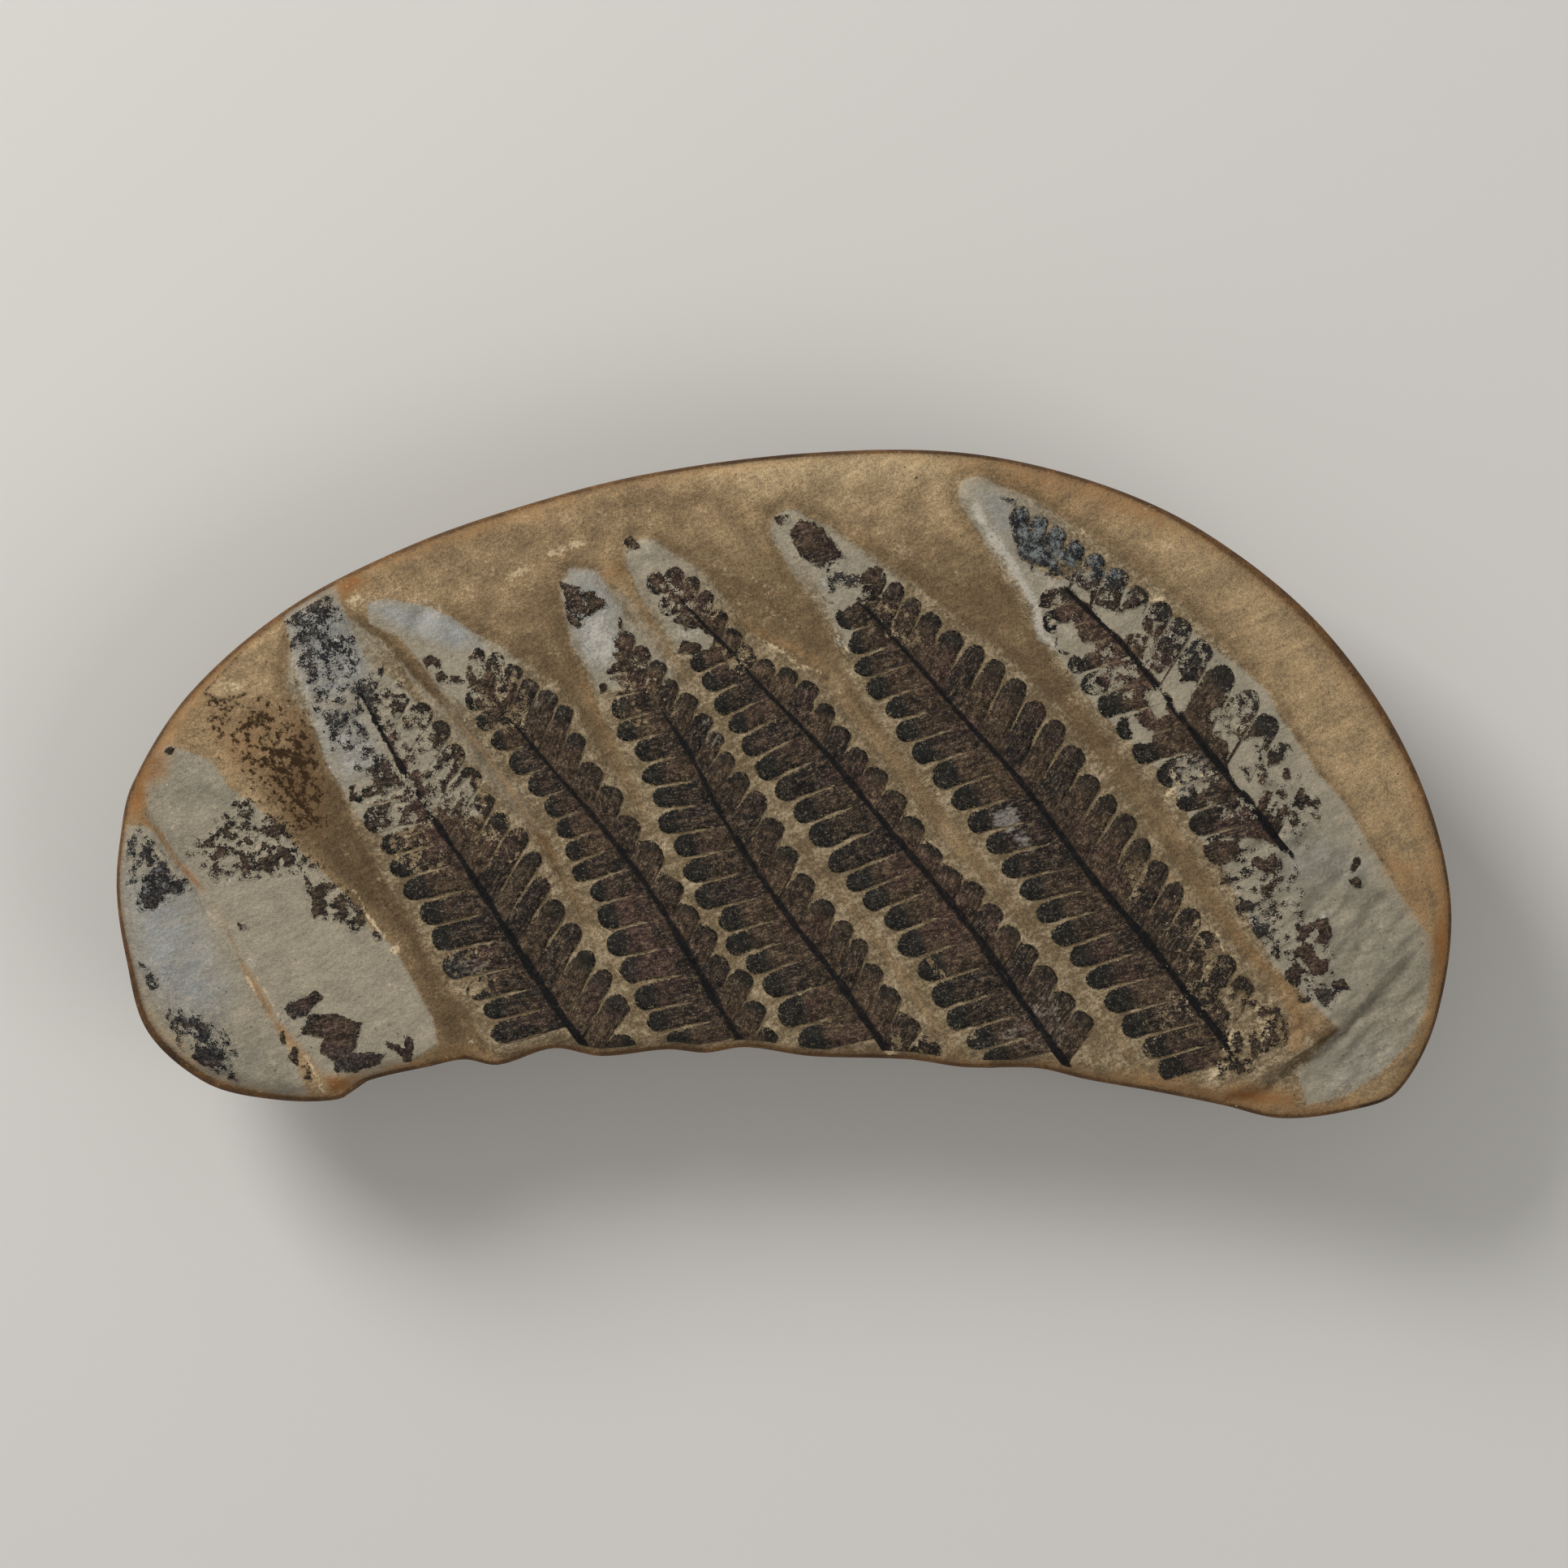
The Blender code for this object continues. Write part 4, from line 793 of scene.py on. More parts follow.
SCRAPS = [
    # the tip of the third leaflet and its left side
    area(1.0, 0.55, (350, 750), (402, 722), (426, 776), (454, 812), (382, 840), (362, 800)),
    area(0.6, 0.78, (352, 750), (366, 738), (400, 732), (408, 750), (404, 778), (380, 790)),
    area(0.8, 0.34, (380, 845), (438, 824), (446, 850), (438, 875), (400, 900)),
    area(0.5, 0.75, (400, 884), (444, 866), (450, 878), (408, 900)),
    area(0.6, 0.38, (406, 900), (440, 884), (482, 926), (490, 950), (470, 965), (438, 946), (440, 925),
        (410, 926)),
    scrap((442, 977), (472, 970), (475, 976), (450, 984)),
    area(0.3, 0.85, (431, 968), (438, 966), (438, 986), (432, 987)),
    area(0.4, 0.75, (458, 944), (478, 938), (494, 955), (482, 972), (462, 966)),
    # the tips of the fourth, the fifth, the sixth and the seventh
    scrap((520, 812), (532, 807), (545, 811), (546, 832), (534, 815), (526, 824)),
    area(0.4, 0.75, (535, 828), (568, 834), (576, 842), (544, 845)),
    area(0.5, 0.9, (691, 717), (732, 730), (757, 749), (736, 750), (714, 774), (702, 766)),
    scrap((739, 842), (748, 840), (752, 852), (740, 854)),
    area(0.35, 0.85, (770, 664), (778, 660), (790, 674), (772, 680)),
    scrap((843, 792), (858, 791), (868, 797), (860, 806), (836, 804)),
    area(0.4, 0.65, (953, 637), (974, 634), (978, 645), (962, 647)),
    area(0.4, 0.8, (972, 662), (984, 662), (990, 672), (980, 672)),
    area(0.5, 0.96, (972, 656), (982, 642), (1005, 641), (1042, 686), (1012, 699), (990, 690)),
    area(0.6, 0.66, (1021, 702), (1062, 706), (1058, 722), (1022, 729)),
    scrap((1059, 720), (1061, 706), (1080, 695), (1088, 701), (1086, 720)),
    area(0.35, 0.85, (1072, 740), (1096, 726), (1096, 742), (1086, 750), (1062, 744), (1050, 735)),
    # the tip of the eighth
    scrap((1233, 613), (1250, 613), (1252, 624), (1244, 620)),
    scrap((1251, 629), (1262, 623), (1262, 640), (1290, 672), (1312, 708), (1258, 690), (1246, 655)),
    area(0.5, 0.5, (1270, 700), (1282, 698), (1310, 708), (1274, 708)),
    # the first leaflet
    area(1.5, 0.35, (148, 1024), (178, 1026), (236, 1092), (180, 1124), (160, 1100)),
    area(1.5, 0.35, (206, 1246), (232, 1244), (270, 1266), (290, 1300), (276, 1322), (240, 1312),
        (216, 1282)),
    area(0.5, 0.7, (148, 1028), (158, 1026), (158, 1042), (150, 1044)),
    area(0.5, 0.75, (160, 1032), (170, 1027), (172, 1038), (164, 1046)),
    area(0.5, 0.55, (158, 1050), (170, 1048), (172, 1066), (162, 1064)),
    scrap((176, 1045), (186, 1041), (190, 1066), (184, 1069)),
    scrap((196, 1062), (206, 1060), (213, 1084), (224, 1083), (228, 1098), (204, 1102), (196, 1118),
        (188, 1121), (171, 1106), (180, 1078)),
    area(0.35, 0.85, (142, 1088), (168, 1082), (172, 1085), (144, 1096)),
    area(0.4, 0.8, (159, 1188), (170, 1184), (187, 1192), (184, 1198)),
    area(0.4, 0.85, (178, 1202), (188, 1198), (197, 1204), (195, 1216), (184, 1218)),
    scrap((212, 1256), (219, 1249), (243, 1255), (263, 1267), (258, 1285), (248, 1284), (240, 1266),
        (228, 1267)),
    scrap((235, 1302), (243, 1289), (256, 1286), (279, 1293), (273, 1312), (248, 1314)),
    area(0.6, 0.7, (258, 1328), (268, 1320), (276, 1326), (272, 1338)),
    area(0.6, 0.7, (278, 1322), (290, 1320), (306, 1344), (290, 1351)),
    # the second leaflet
    area(2.0, 0.4, (236, 1050), (300, 984), (352, 1016), (394, 1066), (380, 1084), (350, 1072),
        (268, 1080)),
    area(1.5, 0.4, (378, 1076), (410, 1082), (456, 1130), (440, 1144), (384, 1120)),
    area(0.4, 0.85, (188, 918), (196, 917), (198, 930), (192, 932)),
    scrap((201, 926), (208, 919), (215, 921), (212, 929)),
    area(0.5, 0.75, (284, 988), (296, 983), (307, 990), (294, 1000)),
    area(0.5, 0.8, (280, 1008), (290, 1000), (296, 1012), (292, 1020)),
    area(0.8, 0.62, (292, 1000), (324, 1008), (318, 1044), (304, 1056)),
    area(0.5, 0.75, (238, 1050), (264, 1028), (282, 1050), (264, 1076), (258, 1058)),
    scrap((298, 1058), (306, 1056), (309, 1068), (304, 1073)),
    scrap((330, 1020), (342, 1014), (352, 1018), (342, 1036)),
    scrap((318, 1056), (340, 1050), (346, 1040), (358, 1046), (368, 1066), (356, 1066), (348, 1056),
        (332, 1077), (320, 1070)),
    area(0.5, 0.6, (320, 1030), (346, 1040), (334, 1052), (322, 1050)),
    area(0.5, 0.8, (374, 1062), (386, 1058), (392, 1070), (382, 1074)),
    area(0.4, 0.8, (376, 1080), (388, 1086), (384, 1104), (376, 1098)),
    scrap((389, 1092), (398, 1085), (409, 1088), (400, 1108), (404, 1124), (388, 1131), (385, 1114)),
    scrap((411, 1106), (421, 1102), (430, 1124), (420, 1127)),
    scrap((436, 1130), (446, 1127), (453, 1138), (449, 1144)),
    area(0.5, 0.6, (458, 1148), (472, 1146), (476, 1156), (464, 1158)),
    area(0.4, 0.8, (292, 1136), (312, 1144), (306, 1148), (296, 1145)),
    scrap((350, 1242), (358, 1234), (390, 1220), (400, 1228), (378, 1249), (362, 1255)),
    scrap((384, 1249), (415, 1249), (447, 1259), (438, 1295), (477, 1297), (470, 1310), (440, 1321),
        (415, 1320), (410, 1303), (395, 1297), (398, 1280), (378, 1273), (366, 1277)),
    scrap((473, 1285), (480, 1280), (500, 1290), (499, 1272), (510, 1278), (509, 1300), (503, 1317),
        (497, 1301)),
    scrap((345, 1270), (350, 1270), (354, 1287), (349, 1287)),
    scrap((364, 1284), (370, 1292), (368, 1313), (354, 1303)),
    area(0.5, 0.7, (372, 1314), (380, 1310), (384, 1330), (376, 1334)),
    # the foot of the eighth leaflet
    area(2.0, 0.25, (1484, 1040), (1530, 1030), (1590, 1048), (1600, 1090), (1650, 1190), (1640, 1240),
        (1600, 1220), (1500, 1090)),
    scrap((1484, 1042), (1500, 1034), (1526, 1034), (1528, 1050), (1515, 1064), (1496, 1067), (1486, 1056)),
    area(0.5, 0.85, (1538, 1058), (1572, 1048), (1584, 1068), (1562, 1081)),
    scrap((1502, 1081), (1525, 1078), (1527, 1085), (1504, 1091)),
    area(0.6, 0.66, (1535, 1097), (1580, 1082), (1568, 1095), (1586, 1110)),
    scrap((1530, 1109), (1550, 1111), (1545, 1125), (1516, 1121)),
    area(0.5, 0.7, (1558, 1126), (1570, 1124), (1580, 1132), (1570, 1138)),
    scrap((1543, 1146), (1550, 1136), (1559, 1138), (1565, 1151), (1548, 1156)),
    area(0.6, 0.6, (1590, 1146), (1606, 1136), (1606, 1158), (1574, 1156)),
    scrap((1600, 1145), (1612, 1135), (1635, 1130), (1641, 1150), (1634, 1161), (1616, 1161), (1625, 1150),
        (1619, 1140), (1607, 1158), (1598, 1155)),
    area(0.4, 0.85, (1562, 1165), (1570, 1160), (1581, 1172), (1575, 1182), (1566, 1178)),
    scrap((1594, 1168), (1610, 1160), (1626, 1180), (1639, 1178), (1636, 1198), (1620, 1200), (1608, 1190)),
    scrap((1580, 1200), (1598, 1184), (1606, 1192), (1602, 1212), (1590, 1214)),
    scrap((1616, 1217), (1645, 1220), (1643, 1232), (1632, 1238), (1620, 1230)),
    scrap((1640, 1211), (1655, 1205), (1664, 1219), (1645, 1221)),
    area(0.5, 0.6, (1600, 1226), (1620, 1228), (1618, 1234), (1602, 1234)),
    scrap((1665, 1054), (1675, 1056), (1676, 1064), (1664, 1076)),
    area(0.5, 0.8, (1663, 1084), (1672, 1078), (1678, 1092), (1666, 1092)),
    area(0.5, 0.75, (1602, 980), (1620, 978), (1626, 990), (1612, 994)),
    area(0.5, 0.9, (1528, 946), (1538, 942), (1543, 956), (1538, 964)),
    scrap((1581, 946), (1588, 942), (1592, 960), (1580, 962)),
    scrap((1592, 972), (1612, 980), (1616, 988), (1600, 988)),
    area(0.6, 0.6, (1545, 918), (1560, 920), (1562, 950), (1550, 955)),
    area(1.5, 0.45, (1575, 960), (1600, 950), (1625, 1000), (1610, 1040), (1588, 1040)),
    # the foot of the seventh
    area(0.4, 0.8, (1562, 1258), (1577, 1262), (1570, 1270), (1578, 1284), (1570, 1291), (1562, 1282),
        (1566, 1272)),
    scrap((1516, 1275), (1526, 1268), (1533, 1280), (1530, 1297), (1520, 1298)),
    area(0.6, 0.62, (1524, 1300), (1558, 1302), (1530, 1326), (1522, 1318)),
    area(0.6, 0.5, (1532, 1232), (1582, 1236), (1588, 1284), (1552, 1300), (1500, 1332), (1496, 1304),
        (1540, 1280)),
    # specks and a scratch in the matrix
    trail(0.06, 0.22, 1.0, (792, 641), (801, 626)),
    trail(0.06, 0.22, 0.9, (1123, 590), (1140, 583)),
    trail(0.05, 0.22, 0.9, (1070, 592), (1078, 596)),
]
SOOT = [
    area(2.0, 1.0, (1235, 600), (1300, 610), (1400, 690), (1400, 720), (1320, 720), (1250, 690)),
    area(3.0, 0.6, (1405, 735), (1470, 760), (1490, 800), (1470, 830)),
    area(3.0, 0.35, (1500, 840), (1560, 850), (1590, 910), (1560, 930)),
    area(3.0, 0.8, (345, 740), (430, 735), (475, 820), (460, 880), (470, 960), (400, 900)),
    area(2.0, 0.8, (140, 1020), (240, 1020), (240, 1120), (150, 1110)),
    area(2.0, 0.7, (150, 1180), (210, 1180), (290, 1250), (320, 1320), (250, 1320)),
    area(2.0, 0.7, (345, 1225), (385, 1250), (345, 1265)),
    area(2.0, 0.7, (400, 1300), (480, 1290), (440, 1325), (400, 1320)),
    area(2.0, 0.8, (1536, 1110), (1570, 1125), (1570, 1160), (1540, 1160)),
    area(2.0, 0.7, (1610, 1215), (1650, 1215), (1645, 1240), (1610, 1235)),
    area(2.0, 0.6, (1010, 695), (1060, 700), (1050, 735), (1010, 730)),
]
RUDDY = [
    area(3.0, 0.9, (1290, 742), (1345, 735), (1440, 850), (1420, 900), (1360, 850)),
    area(2.0, 0.9, (1600, 1150), (1645, 1150), (1650, 1205), (1600, 1200)),
    area(5.0, 0.6, (480, 930), (560, 960), (600, 1040), (520, 1040)),
    area(5.0, 0.6, (720, 1090), (800, 1100), (860, 1240), (760, 1250)),
    area(5.0, 0.6, (1180, 1010), (1240, 1090), (1180, 1130), (1120, 1050)),
    area(3.0, 0.3, (385, 1215), (450, 1250), (440, 1295), (400, 1290)),
    area(3.0, 0.7, (235, 1040), (280, 1030), (280, 1078), (240, 1078)),
    area(3.0, 0.4, (975, 635), (1045, 665), (1045, 700), (1000, 690)),
    area(3.0, 0.7, (1450, 985), (1500, 1000), (1600, 1040), (1480, 1040)),
]
LAYERS = {"pale": PALE, "blue": BLUE, "grey": GREY, "white": WHITE, "brown": BROWN,
          "light": LIGHT, "rust": RUST, "cream": CREAM, "sheen": SHEEN, "stain": STAIN,
          "crack_and_shadow": CRACKS_AND_SHADOW_LINES, "soot": SOOT, "ruddy": RUDDY}
print("layers:", ", ".join(LAYERS))

# %% [markdown]
# The rim is rusted too. Its width goes by the direction from the middle of the stone: it is
# broad at the left end and at the right, and there is hardly any along the bottom. Towards a
# leaflet's tip the band round it is paler.

# %% The rusty rim and the layers that follow the shape
RIM = [
    # a place near the edge, and the rusty rim's width in millimetres and strength there
    ((-60, -13), 0.5, 0.15), ((-60, -5), 0.6, 0.15), ((-59, 1), 2.0, 0.75), ((-56, 6), 1.4, 0.5),
    ((-50, 12), 0.8, 0.3), ((-40, 18), 0.7, 0.3), ((-30, 22.5), 1.4, 0.5), ((-15, 27), 1.0, 0.25),
    ((-3, 29), 0.8, 0.4), ((8, 30), 0.6, 0.15), ((20, 29), 2.0, 0.45), ((32, 26), 2.4, 0.55),
    ((42, 20), 1.0, 0.3), ((55, 5), 1.0, 0.35), ((60, -8), 1.6, 0.55), ((60, -14), 1.2, 0.8),
    ((58, -22), 0.8, 0.5), ((52, -29), 0.9, 0.4), ((40, -29), 1.4, 0.6), ((28, -26.5), 0.7, 0.45),
    ((8, -25), 0.5, 0.35), ((-8, -24), 0.4, 0.25), ((-22, -24), 0.5, 0.3), ((-36, -26), 0.9, 0.45),
    ((-46, -28.5), 0.5, 0.25), ((-54, -25), 1.0, 0.35), ((-58, -19), 1.0, 0.3),
]
TIP_PALENESS = 16.0
RIM_REACH = 1.2
RIM_UNEVEN = 0.7
RIM_LUMP = 4.0
RIM_FULL = 1.3
NARROWEST_RIM = 0.2


def around(spots):
    """The direction of each spot from the middle of the stone, as an angle."""
    return np.arctan2(spots[:, 1], spots[:, 0])


def rusted_rim(spots):
    """How rusted the rim is at each spot: most at the very edge, and unevenly so."""
    places = around(np.array([place for place, _, _ in RIM]))
    width, strength = (np.interp(around(spots), places, [spot[k] for spot in RIM],
                                 period=2 * math.pi) for k in (1, 2))
    width = width * (RIM_REACH + RIM_UNEVEN * uneven(spots, RIM_LUMP, 3, seed=3.0))
    inside = inside_by(rough_edge, spots) / np.maximum(width, NARROWEST_RIM)
    return strength * np.clip(RIM_FULL - inside, 0, 1)


def on_leaflets(spots):
    """How much each spot is on the band of a leaflet, and how near that leaflet's tip."""
    nearest, tipward = np.full(len(spots), np.inf), np.zeros(len(spots))
    within = np.full(len(spots), -np.inf)
    for leaflet, (line, right, left) in zip(leaflets.values(), BANDS):
        station, offset, distance = beside(line, spots)
        half = np.where(offset > 0, np.interp(station, *right), np.interp(station, *left))
        within = np.maximum(within, half - distance)
        closer = distance < nearest
        nearest[closer] = distance[closer]
        tipward[closer] = 1 - np.clip(station[closer] / TIP_PALENESS, 0, 1)
    return within, tipward


# %% All the layers together
BAND_EDGE = 0.25
GROOVE_MIDDLE = 0.45
GROOVE_SPREAD = 0.4
PALE_TIP = 0.7


def layers_at(spots):
    """All the layers at some spots, by name."""
    found = {name: washed(spots, shapes) for name, shapes in LAYERS.items()}
    within, tipward = on_leaflets(spots)
    found["band"] = eased(within, -BAND_EDGE, BAND_EDGE)
    found["groove"] = np.exp(-((within + GROOVE_MIDDLE) / GROOVE_SPREAD) ** 2)
    found["pale"] = np.maximum(found["pale"], PALE_TIP * found["band"] * tipward)
    found["rust"] = np.maximum(found["rust"], rusted_rim(spots))
    return found


print("layers at each spot:", len(layers_at(np.zeros((1, 2)))))

# %% [markdown]
# Film doesn't fade, it flakes: at half loss there is whole film on half of the place. Noise of
# two sizes decides which half. Where none or all of it is lost, the noise mustn't win, so the
# last part at both ends is made firm.

# %% Ragged film
RAGGED_SIZES = [(0.8, 0.9), (1.0, 0.55)]
RAGGED_SPREAD = 0.3
RAGGED_GAIN = 0.8
RAGGED_REACH = 0.25
LOSS_SLOPE = 0.62
FIRMNESS = 0.5
FIRM_ENDS = 0.12
GONE = 0.5


def flaked(spots, lost):
    """How far the film is flaked where a share of it is lost. Over GONE there is none. The
    finish adds a finer raggedness to this one."""
    ragged = sum(rise * np.array([noise.noise(Vector((x, y, 4.0)) / size) for x, y in spots])
                 for rise, size in RAGGED_SIZES)
    ragged = RAGGED_REACH * np.tanh(RAGGED_GAIN * ragged / RAGGED_SPREAD)
    firm = eased(lost, 1 - FIRM_ENDS, 1.0) - eased(-lost, -FIRM_ENDS, 0.0)
    return GONE + LOSS_SLOPE * (lost - 0.5) + FIRMNESS * firm + ragged


trial_spots = np.random.default_rng(1).uniform(0, LENGTH, (2000, 2))
trial = flaked(trial_spots, np.full(len(trial_spots), 0.5))
print("share of a half-lost film that is gone:", np.mean(trial > GONE).round(2))

# %% [markdown]
# The stone's mesh has a face, a rounded rim and a back. The face is a loose net of points that
# is triangulated inside its edge. The rim and the back are rings below the edge: each ring is
# the silhouette drawn in towards the flat patch that the stone rests on.

# %% The points of the face
FACE_STEP = 0.29
CLEAR_OF_EDGE = 0.2


def net(low, high, step):
    """Points in offset rows over a rectangle."""
    rows = []
    for j, y in enumerate(np.arange(low[1], high[1], step * math.sqrt(3) / 2)):
        xs = np.arange(low[0] + step / 2 * (j % 2), high[0], step)
        rows.append(np.column_stack((xs, np.full(len(xs), y))))
    return np.vstack(rows)


face_net = net(face_edge.min(0), face_edge.max(0), FACE_STEP)
face_net = face_net[inside_by(face_edge, face_net) > CLEAR_OF_EDGE]
face_spots = np.vstack((face_edge, face_net))
face_heights = FACE_LEVEL + ground(face_spots)
print("the face has", len(face_spots), "points")

# %% The rings of the rim and the back
REST_CENTRE = np.array((1.0, -1.5))
REST_RADII = np.array((19.0, 8.5))
WIDTH = 60.0
RIM_RINGS = 5
BACK_RINGS = 30
ROUND_SIDE = 2.1
BROKEN_SIDE = 3.6
BROKEN_MIDDLE = -4.0
BROKEN_REACH = 42.0
LUMPS = [(0.7, 13.0), (0.22, 4.0), (0.07, 1.3)]


def lumpy(points, amount):
    """How far the crust bulges at each point, in millimetres."""
    return amount * sum(rise * np.array([noise.noise(Vector(p) / size) for p in points])
                        for rise, size in LUMPS)


def rim_ring(share):
    """A ring of the rounded rim: share is 0 at the face's edge and 1 at the shoulder."""
    turn = share * math.pi / 2
    flat = face_edge + (silhouette - face_edge) * math.sin(turn)
    upper = face_heights[:len(face_edge)]
    lower = FACE_LEVEL - SHOULDER_DROP
    return np.column_stack((flat, upper + (lower - upper) * (1 - math.cos(turn))))


def back_ring(drop):
    """A ring of the back: drop is 0 at the shoulder and 1 at the resting face."""
    turn = np.arctan2(*((silhouette - REST_CENTRE) / (LENGTH, WIDTH)).T[::-1])
    rest = REST_CENTRE + REST_RADII * np.column_stack((np.cos(turn), np.sin(turn)))
    t = np.clip(np.abs(silhouette[:, 0] - BROKEN_MIDDLE) / BROKEN_REACH, 0, 1)
    broken = np.where(silhouette[:, 1] < 0, (1 - t * t) ** 2, 0)
    power = ROUND_SIDE + (BROKEN_SIDE - ROUND_SIDE) * broken
    flat = rest + (silhouette - rest) * ((1 - drop**power) ** (1 / power))[:, None]
    ring = np.column_stack((flat, np.full(len(flat), (FACE_LEVEL - SHOULDER_DROP) * (1 - drop))))
    out = (silhouette - rest) / np.hypot(*(silhouette - rest).T)[:, None]
    ring[:, :2] += out * lumpy(ring, 4 * drop * (1 - drop))[:, None]
    return ring


rings = [rim_ring((k + 1) / RIM_RINGS) for k in range(RIM_RINGS)]
rings += [back_ring(math.sin((k + 1) / BACK_RINGS * math.pi / 2)) for k in range(BACK_RINGS)]
print("the rim and the back have", len(rings), "rings")

# %% A mesh with layers
SAME_SPOT = 1e-5


def named(mesh, layers, domain="POINT"):
    """Keeps each layer on the mesh, under its name."""
    for name, values in layers.items():
        kept = mesh.attributes.new(name, "FLOAT", domain)
        kept.data.foreach_set("value", np.asarray(values, dtype=np.float32))


def piece_of(name, points, faces):
    """A smooth-shaded object from points in millimetres."""
    mesh = bpy.data.meshes.new(name)
    mesh.from_pydata((np.asarray(points) * MM).tolist(), [], faces)
    mesh.shade_smooth()
    piece = bpy.data.objects.new(name, mesh)
    bpy.context.scene.collection.objects.link(piece)
    return piece


def triangulated(spots, outline):
    """Triangles of the spots inside the outline, each wound so that it faces up."""
    made = delaunay_2d_cdt([Vector(p) for p in spots], [], [list(outline)], 1, SAME_SPOT)
    back = {i: sources[0] for i, sources in enumerate(made[3])}
    return [tuple(back[i] for i in face) for face in made[2]]


# %% Make the stone
EDGE_CRUST = 0.4


def make_stone():
    """The whole stone as one closed mesh."""
    faces = triangulated(face_spots, range(len(face_edge)))
    points = [np.column_stack((face_spots, face_heights))] + rings
    count = len(face_edge)
    upper = np.arange(count)
    start = len(face_spots)
    for _ in rings:
        lower = start + np.arange(count)
        faces += zip(upper, np.roll(upper, -1), np.roll(lower, -1), lower)
        upper = lower
        start += count
    faces.append(tuple(upper))
    stone = piece_of("nodule_stone", np.vstack(points), [tuple(map(int, f)) for f in faces])
    bm = bmesh.new()
    bm.from_mesh(stone.data)
    bmesh.ops.recalc_face_normals(bm, faces=bm.faces)
    bm.to_mesh(stone.data)
    bm.free()
    return stone


stone = make_stone()
side_spots = np.vstack([ring[:, :2] for ring in rings])
crust = np.concatenate([np.zeros(len(face_spots)), np.ones(len(side_spots))])
crust[:len(face_edge)] = EDGE_CRUST
named(stone.data, {name: np.concatenate((values, np.zeros(len(side_spots))))
                   for name, values in layers_at(face_spots).items()})
named(stone.data, {"crust": crust})
print("nodule_stone:", len(stone.data.polygons), "faces")

# %% [markdown]
# A leaflet's film is one thin sheet: a rounded lobe for each pinnule, joined near the rachis and
# apart towards the tips, with a raised line down the middle. Neighbouring lobes share a straight
# seam as far as they are joined, so the sheet has no overlaps. No two pinnules are alike: each
# draws its own tip, its own wavy sides and the place where its seams open. The sheet is
# triangulated, cut off at the stone's edge and where it has flaked away, domed over each
# pinnule, and closed underneath.

# %% The outline of a pinnule
SEAM_GAP = 0.035
SEAM_OPENS_OVER = 0.1
TIP_GAP = 0.05
TIP_GAP_FROM = 0.5
TIP_STATION = 0.85
TIP_END = 0.95
NEARLY_THE_TIP = 0.995
ROUND_AT_EARLIEST = 0.45
LEAST_HALF = 0.1
LEAST_FIRST = 0.02
ROUND_SHARE = (0.85, 1.3)
LESS_ROUND = 0.75
TIP_SQUARENESS = (1.6, 2.4)
SIDE_STEPS = 8
TIP_STEPS = 6
WAVES = 9
WAVER = (-0.16, 0.08)
JOINED = {
    # the shares of the length at which the left row's seams open, and the right row's
    "third": ((0.1, 0.45), (0.15, 0.5)), "fourth": ((0.25, 0.7), (0.5, 0.9)),
    "fifth": ((0.15, 0.55), (0.4, 0.85)), "sixth": ((0.15, 0.5), (0.45, 0.85)),
    "seventh": ((0.15, 0.55), (0.2, 0.6)), "eighth": ((0.3, 0.7), (0.3, 0.7)),
}
draw = np.random.default_rng(8)


